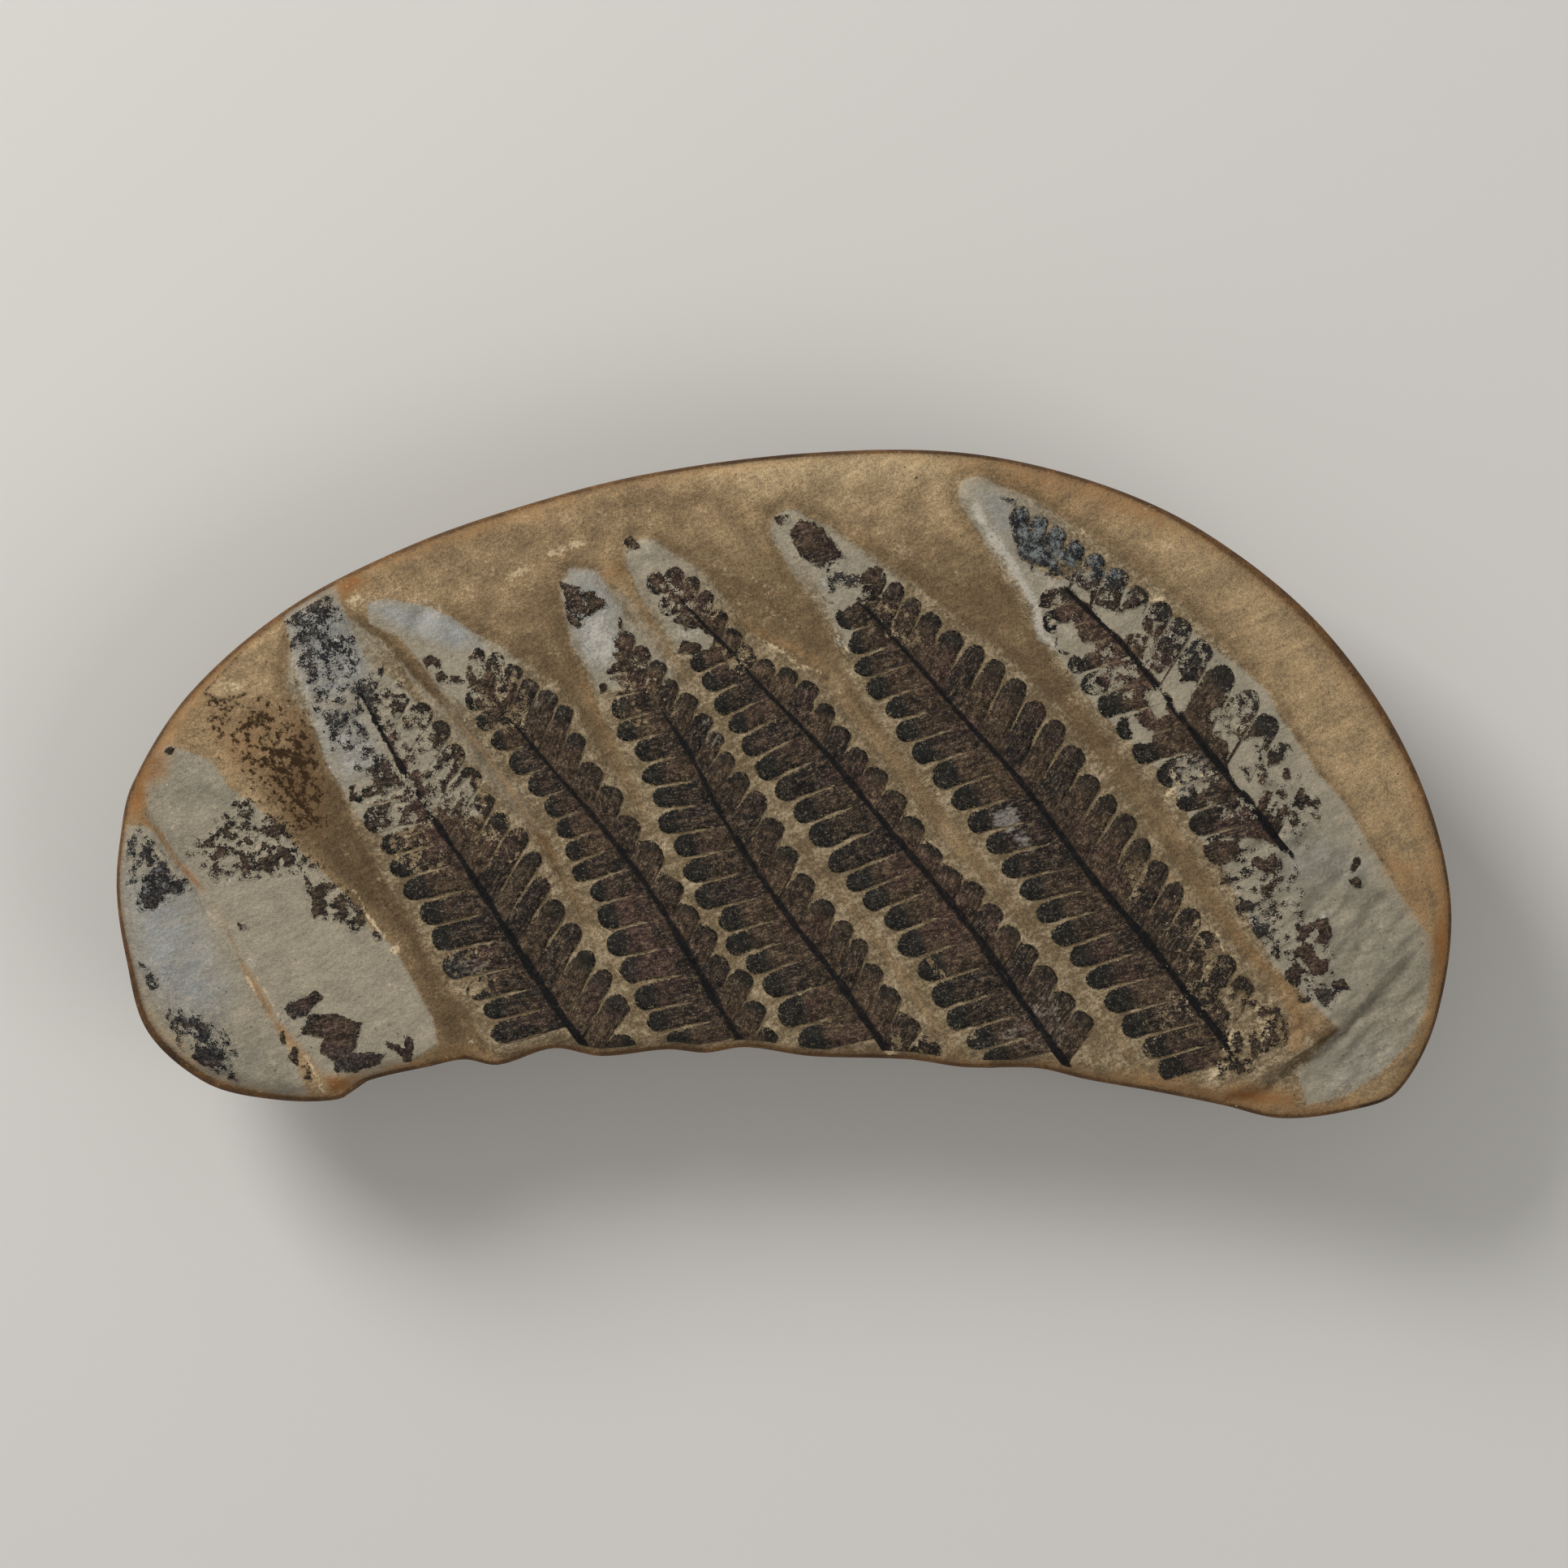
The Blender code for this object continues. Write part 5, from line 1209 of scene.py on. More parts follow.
class Lobe:
    """One pinnule: its middle line from base to tip, and its half width along it."""

    def __init__(self, base, tip, seams, opens):
        self.base, self.tip = base, tip
        self.length = np.hypot(*(tip - base))
        self.run = (tip - base) / self.length
        self.across = np.array((-self.run[1], self.run[0]))
        self.seams, self.opens = seams, opens
        self.tone = draw.random()
        self.waves = draw.uniform(*WAVER, (2, WAVES))
        self.squareness = draw.uniform(*TIP_SQUARENESS)
        rounded = draw.uniform(*ROUND_SHARE) * (1 - LESS_ROUND * np.mean(opens) ** 2)
        tip_width = self.to_seam(TIP_STATION).mean()
        self.round_from = max(1 - rounded * tip_width / self.length, ROUND_AT_EARLIEST)

    def to_seam(self, u):
        """How far the seams are from the middle line, on its two sides."""
        found = []
        for start, end in self.seams:
            ends = [(p - self.base) @ self.across for p in (start, end)]
            stations = [(p - self.base) @ self.run / self.length for p in (start, end)]
            slope = (ends[1] - ends[0]) / (stations[1] - stations[0])
            found.append(np.abs(ends[0] + slope * (u - stations[0])))
        return np.array(found)

    def halves(self, u):
        """The half width on the two sides, at a share of the length."""
        open_here = [eased(u, opens, opens + SEAM_OPENS_OVER) for opens in self.opens]
        tip_gap = TIP_GAP * eased(u, TIP_GAP_FROM, TIP_END)
        gap = [SEAM_GAP * opened + tip_gap for opened in open_here]
        rounding = np.clip((u - self.round_from) / (1 - self.round_from), 0, 1)
        taper = np.clip(1 - rounding**self.squareness, 0, 1) ** (1 / self.squareness)
        wave = [1 + np.interp(u, np.linspace(0, 1, WAVES), waves) * opened
                for waves, opened in zip(self.waves, open_here)]
        return np.maximum(self.to_seam(u) - gap, LEAST_HALF) * taper * wave

    def place(self, spots):
        """Each spot's share of the length and of the half width, how far it is inside the side
        and from the seam, and whether the seam is open there."""
        rel = spots - self.base
        u, v = rel @ self.run / self.length, rel @ self.across
        halves, seams = self.halves(np.clip(u, 0, NEARLY_THE_TIP)), self.to_seam(u)
        half, seam, opens = (np.where(v > 0, *pair) for pair in (halves, seams, self.opens))
        half, v = np.maximum(half, LEAST_HALF / 2), np.abs(v)
        return (u, np.clip(v / half, 0, 1), np.maximum(half - v, 0), np.maximum(seam - v, 0),
                eased(u, opens - SEAM_OPENS_OVER / 2, opens + SEAM_OPENS_OVER))

    def outline(self):
        """The lobe's outline, from its base up one side and down the other."""
        sides = []
        for k, (start, end) in enumerate(self.seams):
            opens = start + (end - start) * self.opens[k]
            first = (opens - self.base) @ self.run / self.length
            side = np.linspace(max(first, LEAST_FIRST), self.round_from, SIDE_STEPS)[1:-1]
            turn = np.linspace(0, 1, TIP_STEPS + 1)[:-1] * math.pi / 2
            round_end = self.round_from + (1 - self.round_from) * np.sin(turn)
            us = np.concatenate((side, round_end))
            us = us[us > first]
            sign = 1 if k == 0 else -1
            edge = [self.base + self.run * u * self.length + sign * self.across * self.halves(u)[k]
                    for u in us]
            sides.append([start, opens] + edge)
        return sides[0] + [self.tip] + sides[1][::-1] + [self.base]


def lobes_of(bases, tips, joined):
    """The pinnules of one side of a leaflet, with the seams between them."""
    count = len(tips)
    middles = [((bases[i] + bases[i + 1]) / 2, (tips[i] + tips[i + 1]) / 2)
               for i in range(count - 1)]
    first = (bases[0] - (bases[1] - bases[0]) / 2, tips[0] - (tips[1] - tips[0]) / 2)
    last = (bases[-1] + (bases[-1] - bases[-2]) / 2, tips[-1] + (tips[-1] - tips[-2]) / 2)
    seams = [first] + middles + [last]
    opens = draw.uniform(*joined, len(seams))
    found = []
    for i in range(count):
        pair, share = [seams[i], seams[i + 1]], [opens[i], opens[i + 1]]
        across = np.array((-(tips[i] - bases[i])[1], (tips[i] - bases[i])[0]))
        if (pair[0][1] - bases[i]) @ across < (pair[1][1] - bases[i]) @ across:
            pair, share = pair[::-1], share[::-1]
        found.append(Lobe(bases[i], tips[i], pair, share))
    return found


leaflet_lobes = {name: [lobes_of(bases, tips, joined)
                        for (bases, tips), joined in zip(leaflet["rows"], JOINED[name])]
                 for name, leaflet in leaflets.items()}
print("pinnules:", sum(len(row) for rows in leaflet_lobes.values() for row in rows))

# %% [markdown]
# The rachis is a tapered ridge, a little lumpy. It is an outline in the sheet, so that the mesh
# has edges along it, and it fades in below the leaflet's tip, where the real one is too thin to
# see.

# %% The rachis
RACHIS_TIP = 0.12
RACHIS_BASE = 0.35
RACHIS_WIDENS = 1.3
RACHIS_LUMP = 1.6
RACHIS_UNEVEN = 0.45
RACHIS_OUTLINE_STEP = 0.6
RACHIS_STRENGTH = {"fourth": 0.8, "fifth": 0.8, "sixth": 0.9}
RACHIS_SHOWS_FROM = {"third": 5.5, "fourth": 9.0, "fifth": 13.0, "sixth": 5.0, "seventh": 5.0,
                     "eighth": 4.5}


def rachis_half(station, length):
    """The rachis' half width at a station. It is a little uneven."""
    widened = np.clip(RACHIS_WIDENS * station / length, 0, 1)
    half = RACHIS_TIP + (RACHIS_BASE - RACHIS_TIP) * widened
    swell = [noise.noise(Vector((s / RACHIS_LUMP, length, 0))) for s in station]
    return half * (1 + RACHIS_UNEVEN * np.array(swell))


def rachis_outline(line):
    """A closed outline round the tapered rachis."""
    line = smooth_line(line[::2], RACHIS_OUTLINE_STEP)
    run = np.gradient(line, axis=0)
    run /= np.hypot(*run.T)[:, None]
    across = np.column_stack((-run[:, 1], run[:, 0]))
    station = beside(line, line)[0]
    half = rachis_half(station, station[-1])[:, None]
    return np.vstack((line - across * half, (line + across * half)[::-1]))


# %% The flat sheet of a leaflet's film
FILM_STEP = 0.25
CLEAR_OF_OUTLINE = 0.07
FILM_CLEAR_OF_EDGE = 0.3
FILM_SAME_SPOT = 1e-4
NEAR_OUTLINE = 1.0
NEAR_LEAFLET = 2.0
film_limit = face_edge - outward(face_edge) * FILM_CLEAR_OF_EDGE


def wound(outline):
    """The outline, wound anticlockwise."""
    x, y = np.array(outline).T
    clockwise = np.sum(x * np.roll(y, -1) - y * np.roll(x, -1)) < 0
    return list(outline)[::-1] if clockwise else list(outline)


def net_within(outlines):
    """A net of points inside any of the outlines, and clear of all of them."""
    every = np.vstack(outlines)
    spots = net(every.min(0), every.max(0), FILM_STEP)
    inside, clear = np.zeros(len(spots), dtype=bool), np.ones(len(spots), dtype=bool)
    for outline in outlines:
        low = np.min(outline, axis=0) - NEAR_OUTLINE
        high = np.max(outline, axis=0) + NEAR_OUTLINE
        near = np.all((spots > low) & (spots < high), axis=1)
        depth = inside_by(np.array(outline), spots[near])
        inside[near] |= depth > 0
        clear[near] &= np.abs(depth) > CLEAR_OF_OUTLINE
    return spots[inside & clear]


def film_sheet(line, lobes):
    """The film's points and triangles, flat, with the lobe that each triangle belongs to."""
    outlines = [wound(outline) for outline in [lobe.outline() for lobe in lobes]
                + [rachis_outline(line)]]
    points, faces = [], []
    for outline in outlines:
        faces.append(list(range(len(points), len(points) + len(outline))))
        points += outline
    points += list(net_within(outlines))
    low, high = np.min(points, axis=0) - NEAR_LEAFLET, np.max(points, axis=0) + NEAR_LEAFLET
    near = np.all((film_limit > low) & (film_limit < high), axis=1)
    start = len(points)
    points += list(film_limit)
    edges = [(start + i, start + (i + 1) % len(near)) for i in np.flatnonzero(near)]
    made = delaunay_2d_cdt([Vector(p) for p in points], edges, faces, 1, FILM_SAME_SPOT)
    spots = np.array([tuple(p) for p in made[0]])
    sheet = [(face, min(sources)) for face, sources in zip(made[2], made[5])
             if sources and len(face) == 3]
    triangles, owners = np.array([face for face, _ in sheet]), np.array([own for _, own in sheet])
    kept = inside_by(film_limit, spots[triangles].mean(1)) > 0
    return spots, triangles[kept], owners[kept]


print("the film stays", FILM_CLEAR_OF_EDGE, "mm inside the face's edge")

# %% [markdown]
# Where a film has flaked away the sheet is cut, along the line where the flaking passes a limit.
# The cut crosses the triangles, because leaving out whole ones would show their net as teeth.
# Crumbs of a few triangles are dropped, and the open edges that are left get walls.

# %% Cutting the sheet
SMALLEST_CUT = 0.03


def cut(spots, triangles, owners, kept):
    """Cuts the sheet along the line where kept is 0, and keeps the side where it is above."""
    kept = np.where(np.abs(kept) < SMALLEST_CUT, np.copysign(SMALLEST_CUT, kept), kept)
    inside = kept[triangles] > 0
    pieces, owned = [triangles[inside.all(1)]], [owners[inside.all(1)]]
    ends, starts = [], []
    for k in range(3):
        one, two, three = (np.roll(np.arange(3), -k)[i] for i in range(3))
        # One corner inside leaves a corner, and two leave a strip
        alone = inside[:, one] & ~inside[:, two] & ~inside[:, three]
        pair = ~inside[:, one] & inside[:, two] & inside[:, three]
        for chosen, shape in ((alone, "corner"), (pair, "strip")):
            a, b, c = triangles[chosen][:, [one, two, three]].T
            first = len(spots) + sum(map(len, starts))
            starts.append(np.concatenate((a, a)))
            ends.append(np.concatenate((b, c)))
            ab, ac = first + np.arange(len(a)), first + len(a) + np.arange(len(a))
            if shape == "corner":
                pieces.append(np.column_stack((a, ab, ac)))
                owned.append(owners[chosen])
            else:
                pieces += [np.column_stack((ab, b, c)), np.column_stack((ab, c, ac))]
                owned += [owners[chosen]] * 2
    starts, ends = np.concatenate(starts), np.concatenate(ends)
    low, high = np.minimum(starts, ends), np.maximum(starts, ends)
    edges, same = np.unique(low * len(spots) + high, return_inverse=True)
    low, high = edges // len(spots), edges % len(spots)
    share = (kept[low] / (kept[low] - kept[high]))[:, None]
    crossings = spots[low] + (spots[high] - spots[low]) * share
    triangles = np.vstack(pieces)
    renamed = np.concatenate((np.arange(len(spots)), len(spots) + same.ravel()))
    return np.vstack((spots, crossings)), renamed[triangles], np.concatenate(owned)


def islands(triangles, count):
    """A number for each triangle's island, and how many triangles that island has."""
    island = np.arange(count)
    while True:
        lowest = island[triangles].min(1)
        spread = island.copy()
        np.minimum.at(spread, triangles.ravel(), np.repeat(lowest, 3))
        spread = spread[spread]
        if np.array_equal(spread, island):
            break
        island = spread
    return np.bincount(island[triangles[:, 0]], minlength=count)[island[triangles[:, 0]]]


def open_edges(triangles):
    """The edges that only one triangle has, in that triangle's direction."""
    sides = np.vstack((triangles[:, [0, 1]], triangles[:, [1, 2]], triangles[:, [2, 0]]))
    base = sides.max() + 1
    key, back = sides[:, 0] * base + sides[:, 1], sides[:, 1] * base + sides[:, 0]
    return sides[~np.isin(key, back)].tolist()


# %% A film in relief
DROP_OVER = 0.7
FADE = (0.1, 0.15)
FILM_LIFT = 0.06
FILM_CROWN = 0.15
RACHIS_RISE = 0.16
FILM_DEPTH = 0.3
LOST_LIFT = 0.015
SMALLEST_ISLAND = 12


def film_piece(name, spots, triangles, crown, layers, corners, vein):
    """A closed sheet over the ground, flush with the stone where it has flaked away."""
    stays = islands(triangles, len(spots)) >= SMALLEST_ISLAND
    used, triangles = np.unique(triangles[stays], return_inverse=True)
    triangles = triangles.reshape(-1, 3)
    spots, crown = spots[used], crown[used]
    layers = {**layers_at(spots), **{key: values[used] for key, values in layers.items()}}
    left = eased(GONE + FADE[0] - layers["flake"], 0.0, FADE[1])
    base = FACE_LEVEL + ground(spots)
    top = np.column_stack((spots, base + LOST_LIFT + (FILM_LIFT + crown - LOST_LIFT) * left))
    bottom = np.column_stack((spots, base - FILM_DEPTH))
    count = len(spots)
    walls = [(b, a, a + count, b + count) for a, b in open_edges(triangles)]
    faces = triangles.tolist() + (triangles[:, ::-1] + count).tolist() + walls
    film = piece_of("film_" + name, np.vstack((top, bottom)), faces)
    named(film.data, {key: np.tile(values, 2) for key, values in layers.items()})
    blank = np.zeros(len(film.data.loops) - triangles.size)
    named(film.data, {key: np.append(values[stays].ravel(), blank)
                      for key, values in corners.items()}, "CORNER")
    kept = film.data.attributes.new("vein", "FLOAT_VECTOR", "CORNER")
    kept.data.foreach_set("vector", np.append(vein[stays].ravel(), np.repeat(blank, 3)))
    print(film.name, 2 * len(triangles) + 2 * len(walls), "triangles")
    return film


print("a pinnule stands", FILM_LIFT + FILM_CROWN, "mm high in its middle")

# %% [markdown]
# A pinnule's tip is darker than the rest, and a thin pale seam parts it from its neighbours. So
# each corner of the sheet knows how far it is from its pinnule's edge and from the seam. Noise
# in the finish frays the edge. The fine veins run along each pinnule, so every corner also
# carries its place in it.

# %% How flaked a leaflet is
MARGIN = 0.55
EDGE_HOLDS = 0.25
RACHIS_HOLDS = 0.4
ALL_LOST = 0.95
FRAYED = 0.5
SCRAP_COVERS = (0.3, 0.6)


def lost_at(spots):
    """The share of a leaflet's film that is lost. Where there are scraps, they are the film."""
    lost = washed(spots, LOST) * (1 - washed(spots, WHOLE))
    return np.maximum(lost, eased(washed(spots, SCRAPS), *SCRAP_COVERS))


def edge_of(lobe, u, depth, parted):
    """0 at a pinnule's own edge, and 1 well inside it or where it is joined to the next."""
    to_tip = np.clip(1 - u, 0, 1) * lobe.length
    return np.clip(np.minimum(depth / MARGIN + 1 - parted, to_tip / MARGIN), 0, 1)


def flake_of(spots, triangles, owners, lobes, rachis):
    """How far a leaflet's film is flaked. Its margin is frayed."""
    margin = np.zeros(len(spots))
    for i, lobe in enumerate(lobes):
        ids = triangles[owners == i]
        u, _, depth, _, parted = lobe.place(spots[ids.ravel()])
        np.maximum.at(margin, ids.ravel(), 1 - edge_of(lobe, u, depth, parted))
    lost = lost_at(spots)
    held = np.maximum(EDGE_HOLDS * margin, RACHIS_HOLDS * rachis) * (lost < ALL_LOST)
    flake = flaked(spots, lost * (1 - held))
    return np.maximum(flake, GONE - FRAYED * (1 - margin * (1 - rachis)))


# %% Make the films of the leaflets
RACHIS_FADES_IN = 0.6
RACHIS_SOFTNESS = 0.1
SEAM_SHOWS = ((0.08, 0.3), (0.25, 0.6))
SEAM_REACH = 0.6
DARK_FROM = (0.45, 0.85)
DARK_TIPS = (1.0, 0.5)
VEIN_SHIFT = 7.0
DOME_FLATNESS = 2.4
DOME_ROUNDNESS = 0.7
DOME_BASE = 0.25
DOME_TIP = 0.12


def on_rachis(name, line, spots):
    """How much each spot is on the rachis, and how high the rachis stands there."""
    station, _, distance = beside(line, spots)
    half = rachis_half(station, np.hypot(*np.diff(line, axis=0).T).sum())
    start = RACHIS_SHOWS_FROM[name]
    shown = eased(station, start - RACHIS_FADES_IN, start) * RACHIS_STRENGTH.get(name, 1.0)
    ridge = shown * np.clip(1 - (distance / half) ** 2, 0, 1) * np.clip(half / RACHIS_BASE, 0, 1)
    return shown * eased(half + RACHIS_SOFTNESS - distance, 0.0, 2 * RACHIS_SOFTNESS), ridge


def domed(u, v):
    """The dome of a pinnule, at a share of its length and of its half width."""
    ends = eased(u, 0.0, DOME_BASE) * np.sqrt(np.clip((1 - u) / DOME_TIP, 0, 1))
    return (1 - v**DOME_FLATNESS) ** DOME_ROUNDNESS * ends


def leaflet_film(name, line, rows):
    """A leaflet's film as one closed piece."""
    lobes = rows[0] + rows[1]
    spots, triangles, owners = film_sheet(line, lobes)
    flake = flake_of(spots, triangles, owners, lobes, on_rachis(name, line, spots)[0])
    spots, triangles, owners = cut(spots, triangles, owners, DROP_OVER - flake)
    rachis, ridge = on_rachis(name, line, spots)
    crown = RACHIS_RISE * ridge
    corners = {"edge": np.ones(triangles.shape), "seam": np.ones(triangles.shape),
               "tip": np.zeros(triangles.shape), "tone": np.full(triangles.shape, 0.5)}
    vein = np.zeros(triangles.shape + (3,))
    for i, lobe in enumerate(lobes):
        own, row = owners == i, int(i >= len(rows[0]))
        ids = triangles[own]
        u, v, depth, seam, parted = (found.reshape(ids.shape)
                                     for found in lobe.place(spots[ids.ravel()]))
        corners["edge"][own] = edge_of(lobe, u, depth, parted)
        shut = SEAM_REACH * (1 - eased(u, *SEAM_SHOWS[row]))
        corners["seam"][own] = np.clip(seam, 0, SEAM_REACH) + shut
        corners["tip"][own] = eased(u, *DARK_FROM) * DARK_TIPS[row]
        corners["tone"][own] = lobe.tone
        vein[own] = np.stack((u * lobe.length, (spots[ids] - lobe.base) @ lobe.across,
                              np.full(ids.shape, i * VEIN_SHIFT)), axis=-1)
        np.maximum.at(crown, ids, FILM_CROWN * domed(u, v))
    flake = flake_of(spots, triangles, owners, lobes, rachis)
    layers = {"rachis": rachis, "flake": np.minimum(flake, DROP_OVER)}
    return film_piece(name, spots, triangles, crown, layers, corners, vein)


films = [leaflet_film(name, leaflets[name]["line"], rows)
         for name, rows in leaflet_lobes.items()]

# %% [markdown]
# The scraps on the bare stone have no pinnules to follow. One net covers the whole face, only
# the part under a scrap is kept, and the same flaking and closing make it a film.

# %% Make the scraps of film
SCRAP_STEP = 0.22
SCRAP_GRAIN = np.array(((0.97, -0.26), (0.26, 0.97)))
FAINTEST = 0.02
LONGEST_SIDE = 1.2
SCRAP_EDGE = 0.4
SCRAP_TONE_SIZE = 3.0
SCRAP_TIP = 0.3


def longest_sides(corners):
    """The longest side of each triangle."""
    sides = corners - np.roll(corners, 1, axis=1)
    return np.hypot(sides[..., 0], sides[..., 1]).max(1)


def scrap_film():
    """The scraps on the bare leaflets, the specks and the scratch, as one piece."""
    spots = net(film_limit.min(0), film_limit.max(0), SCRAP_STEP)
    share = washed(spots, SCRAPS)
    spots = spots[(share > FAINTEST) & (inside_by(film_limit, spots) > 0)]
    made = delaunay_2d_cdt([Vector(p) for p in spots], [], [], 0, FILM_SAME_SPOT)
    triangles = np.array(made[2])
    triangles = triangles[longest_sides(spots[triangles]) < LONGEST_SIDE * SCRAP_STEP]
    flake = flaked(spots, 1 - washed(spots, SCRAPS))
    owners = np.zeros(len(triangles), dtype=int)
    spots, triangles, owners = cut(spots, triangles, owners, DROP_OVER - flake)
    flake = flaked(spots, 1 - washed(spots, SCRAPS))
    edge = np.clip((GONE - flake) / SCRAP_EDGE, 0, 1)
    tone = 0.5 + 0.5 * uneven(spots, SCRAP_TONE_SIZE, seed=2.0)
    corners = {"edge": edge[triangles], "seam": np.ones(triangles.shape),
               "tip": np.full(triangles.shape, SCRAP_TIP), "tone": tone[triangles]}
    grain = spots @ SCRAP_GRAIN
    vein = np.dstack((grain[triangles], np.zeros(triangles.shape)))
    layers = {"rachis": np.zeros(len(spots)), "flake": np.minimum(flake, DROP_OVER)}
    return film_piece("scraps", spots, triangles, FILM_CROWN / 2 * edge, layers, corners, vein)


films.append(scrap_film())

# %% [markdown]
# Both finishes share one group of nodes for bare stone, because stone shows through wherever the
# film has flaked off. A node does one small sum, so a few helpers make and link them. A layer's
# edge is made ragged by adding fine noise before it is cut off, as a chip ends on real stone.

# %% Tools for nodes
def colour(text):
    """A hex code's colour, in the linear values that nodes take."""
    parts = [int(text[i:i + 2], 16) / 255 for i in (0, 2, 4)]
    return tuple(p / 12.92 if p <= 0.04045 else ((p + 0.055) / 1.055) ** 2.4 for p in parts) + (1,)


class Nodes:
    """Makes nodes in a tree, and links them as they are made."""

    def __init__(self, tree):
        self.tree = tree

    def make(self, kind, inputs, out=0, **settings):
        made = self.tree.nodes.new(kind)
        for key, value in settings.items():
            setattr(made, key, value)
        for key, value in inputs.items():
            if isinstance(value, bpy.types.NodeSocket):
                self.tree.links.new(value, made.inputs[key])
            else:
                made.inputs[key].default_value = value
        return made.outputs[out]

    def layer(self, name):
        return self.make("ShaderNodeAttribute", {}, out="Fac", attribute_name=name)

    def sum(self, a, b, scale=1.0):
        return self.make("ShaderNodeMath", {0: b, 1: scale, 2: a}, operation="MULTIPLY_ADD")

    def times(self, a, b):
        return self.make("ShaderNodeMath", {0: a, 1: b}, operation="MULTIPLY")

    def ramp(self, value, low, high, start=0.0, end=1.0):
        return self.make("ShaderNodeMapRange", {0: value, 1: low, 2: high, 3: start, 4: end},
                         interpolation_type="SMOOTHSTEP")

    def mix(self, factor, a, b):
        return self.make("ShaderNodeMix", {0: factor, 6: a, 7: b}, out=2, data_type="RGBA")

    def laid(self, shade, name, amount, tint):
        """A tint over a shade where a layer is."""
        return self.mix(self.times(self.layer(name), amount), shade, tint)

    def over(self, shade, value, reach, tint):
        """A tint over a shade: reach says where it starts, where it is full, and how strong."""
        low, high, most = reach
        return self.mix(self.times(self.ramp(value, low, high), most), shade, tint)

    def scaled(self, vector, scale):
        return self.make("ShaderNodeVectorMath", {0: vector, "Scale": scale}, operation="SCALE")

    def moved(self, vector, shift):
        return self.make("ShaderNodeVectorMath", {0: vector, 1: (shift,) * 3}, operation="ADD")

    def streaked(self, vector, turn, length):
        """A place turned and squeezed, so that noise at it comes out in streaks."""
        turned = self.make("ShaderNodeMapping", {"Vector": vector, "Rotation": (0, 0, -turn)})
        return self.make("ShaderNodeVectorMath", {0: turned, 1: (1 / length, 1, 1)},
                         operation="MULTIPLY")

    def noise(self, vector, size, detail=2.0, rough=0.5):
        return self.make("ShaderNodeTexNoise", {"Vector": vector, "Scale": 1 / size,
                                                "Detail": detail, "Roughness": rough})

    def spots(self, vector, spacing, radius):
        """Small round spots: 1 inside each, on a loose net."""
        cell = self.make("ShaderNodeTexVoronoi", {"Vector": vector, "Scale": 1 / spacing})
        return self.ramp(cell, radius / spacing, 0.6 * radius / spacing)

    def millimetres(self):
        return self.scaled(self.make("ShaderNodeTexCoord", {}, out="Object"), 1 / MM)


# %% The colours of the stone
TAN = colour("9a8260")
TAN_DARK = colour("877052")
TAN_LIGHT = colour("b09873")
BAND_TAN = colour("75644a")
BAND_PALE = colour("918167")
BEIGE = colour("978d79")
BLUE_GREY = colour("93938f")
GREY_STONE = colour("827c6c")
SOOT_DUST = colour("5d6062")
WHITE_STONE = colour("c4bdb0")
BROWN_STONE = colour("57462f")
RUST_STONE = colour("895d33")
ORANGE_TAN = colour("a17a4d")
CREAM_STONE = colour("cfb994")
STAIN_BROWN = colour("765a3c")
STAIN_SPECK = colour("35240f")
CRACK_AND_SHADOW_BROWN = colour("33261a")
CRUST_BROWN = colour("5a4129")
CRUST_RUSTY = colour("70502f")
CRUST_DARK = colour("3d2c1b")
DARK_SPECK = colour("2e2a24")
WHITE_SPECK = colour("e6e0d2")

# %% The noises of the stone
# Each noise has its size in millimetres, then its detail and its roughness
BROAD = (9.0, 3.0)
PATCHES = (2.2, 4.0, 0.6)
GRAIN = (0.32, 3.0, 0.7)
FINE_GRAIN = (0.13, 2.0)
FIBRES = (0.5, 3.0, 0.6)
FIBRE_TURN = math.radians(28.0)
FIBRE_LENGTH = 6.0
MOTTLE = (-0.3, 0.3, 0.66, 1.34)


class StoneNodes(Nodes):
    """The nodes of bare stone, with the noises that its layers share."""

    def __init__(self, tree):
        super().__init__(tree)
        self.at = self.millimetres()
        self.broad = self.noise(self.at, *BROAD)
        self.patch = self.noise(self.at, *PATCHES)
        self.grain = self.noise(self.at, *GRAIN)
        self.fine = self.noise(self.at, *FINE_GRAIN)
        self.fibre = self.noise(self.streaked(self.at, FIBRE_TURN, FIBRE_LENGTH), *FIBRES)
        self.mottle = self.ramp(self.sum(self.sum(self.grain, self.fine), -1.0), *MOTTLE)

    def frayed(self, name, amount):
        """A layer with grain and patches added, so that it has no clean edge."""
        return self.sum(self.layer(name), self.sum(self.sum(self.grain, self.patch), -1.0), amount)

    def ragged(self, name, amount, width):
        """A layer cut off at a half along a ragged edge."""
        return self.ramp(self.frayed(name, amount), 0.5 - width / 2, 0.5 + width / 2)


# %% [markdown]
# The stone between the leaflets is a mottled tan, lighter at the upper and right rim, brown in
# the wedges and grooves, with painted shade in some grooves and below the step, and greyer on
# the bands that the leaflets lie on. Coarse patches choose the tint, and grain, fibres and
# patches then darken it a bit.

# %% The tan stone
TAN_PATCHES = (0.55, 0.85)
BAND_PATCHES = (1.35, 1.75)
LIGHT_PATCHES = (0.3, 0.6, 0.75, 1.0)
BROWN_PATCHES = (0.25, 0.6, 0.75, 1.0)
FIBRE_CLOUDS = (0.3, 0.7, 0.88, 1.12)
PATCH_CLOUDS = (0.3, 0.7, 0.86, 1.14)
BAND_STRENGTH = 0.9
GROOVE_STRENGTH = 0.4


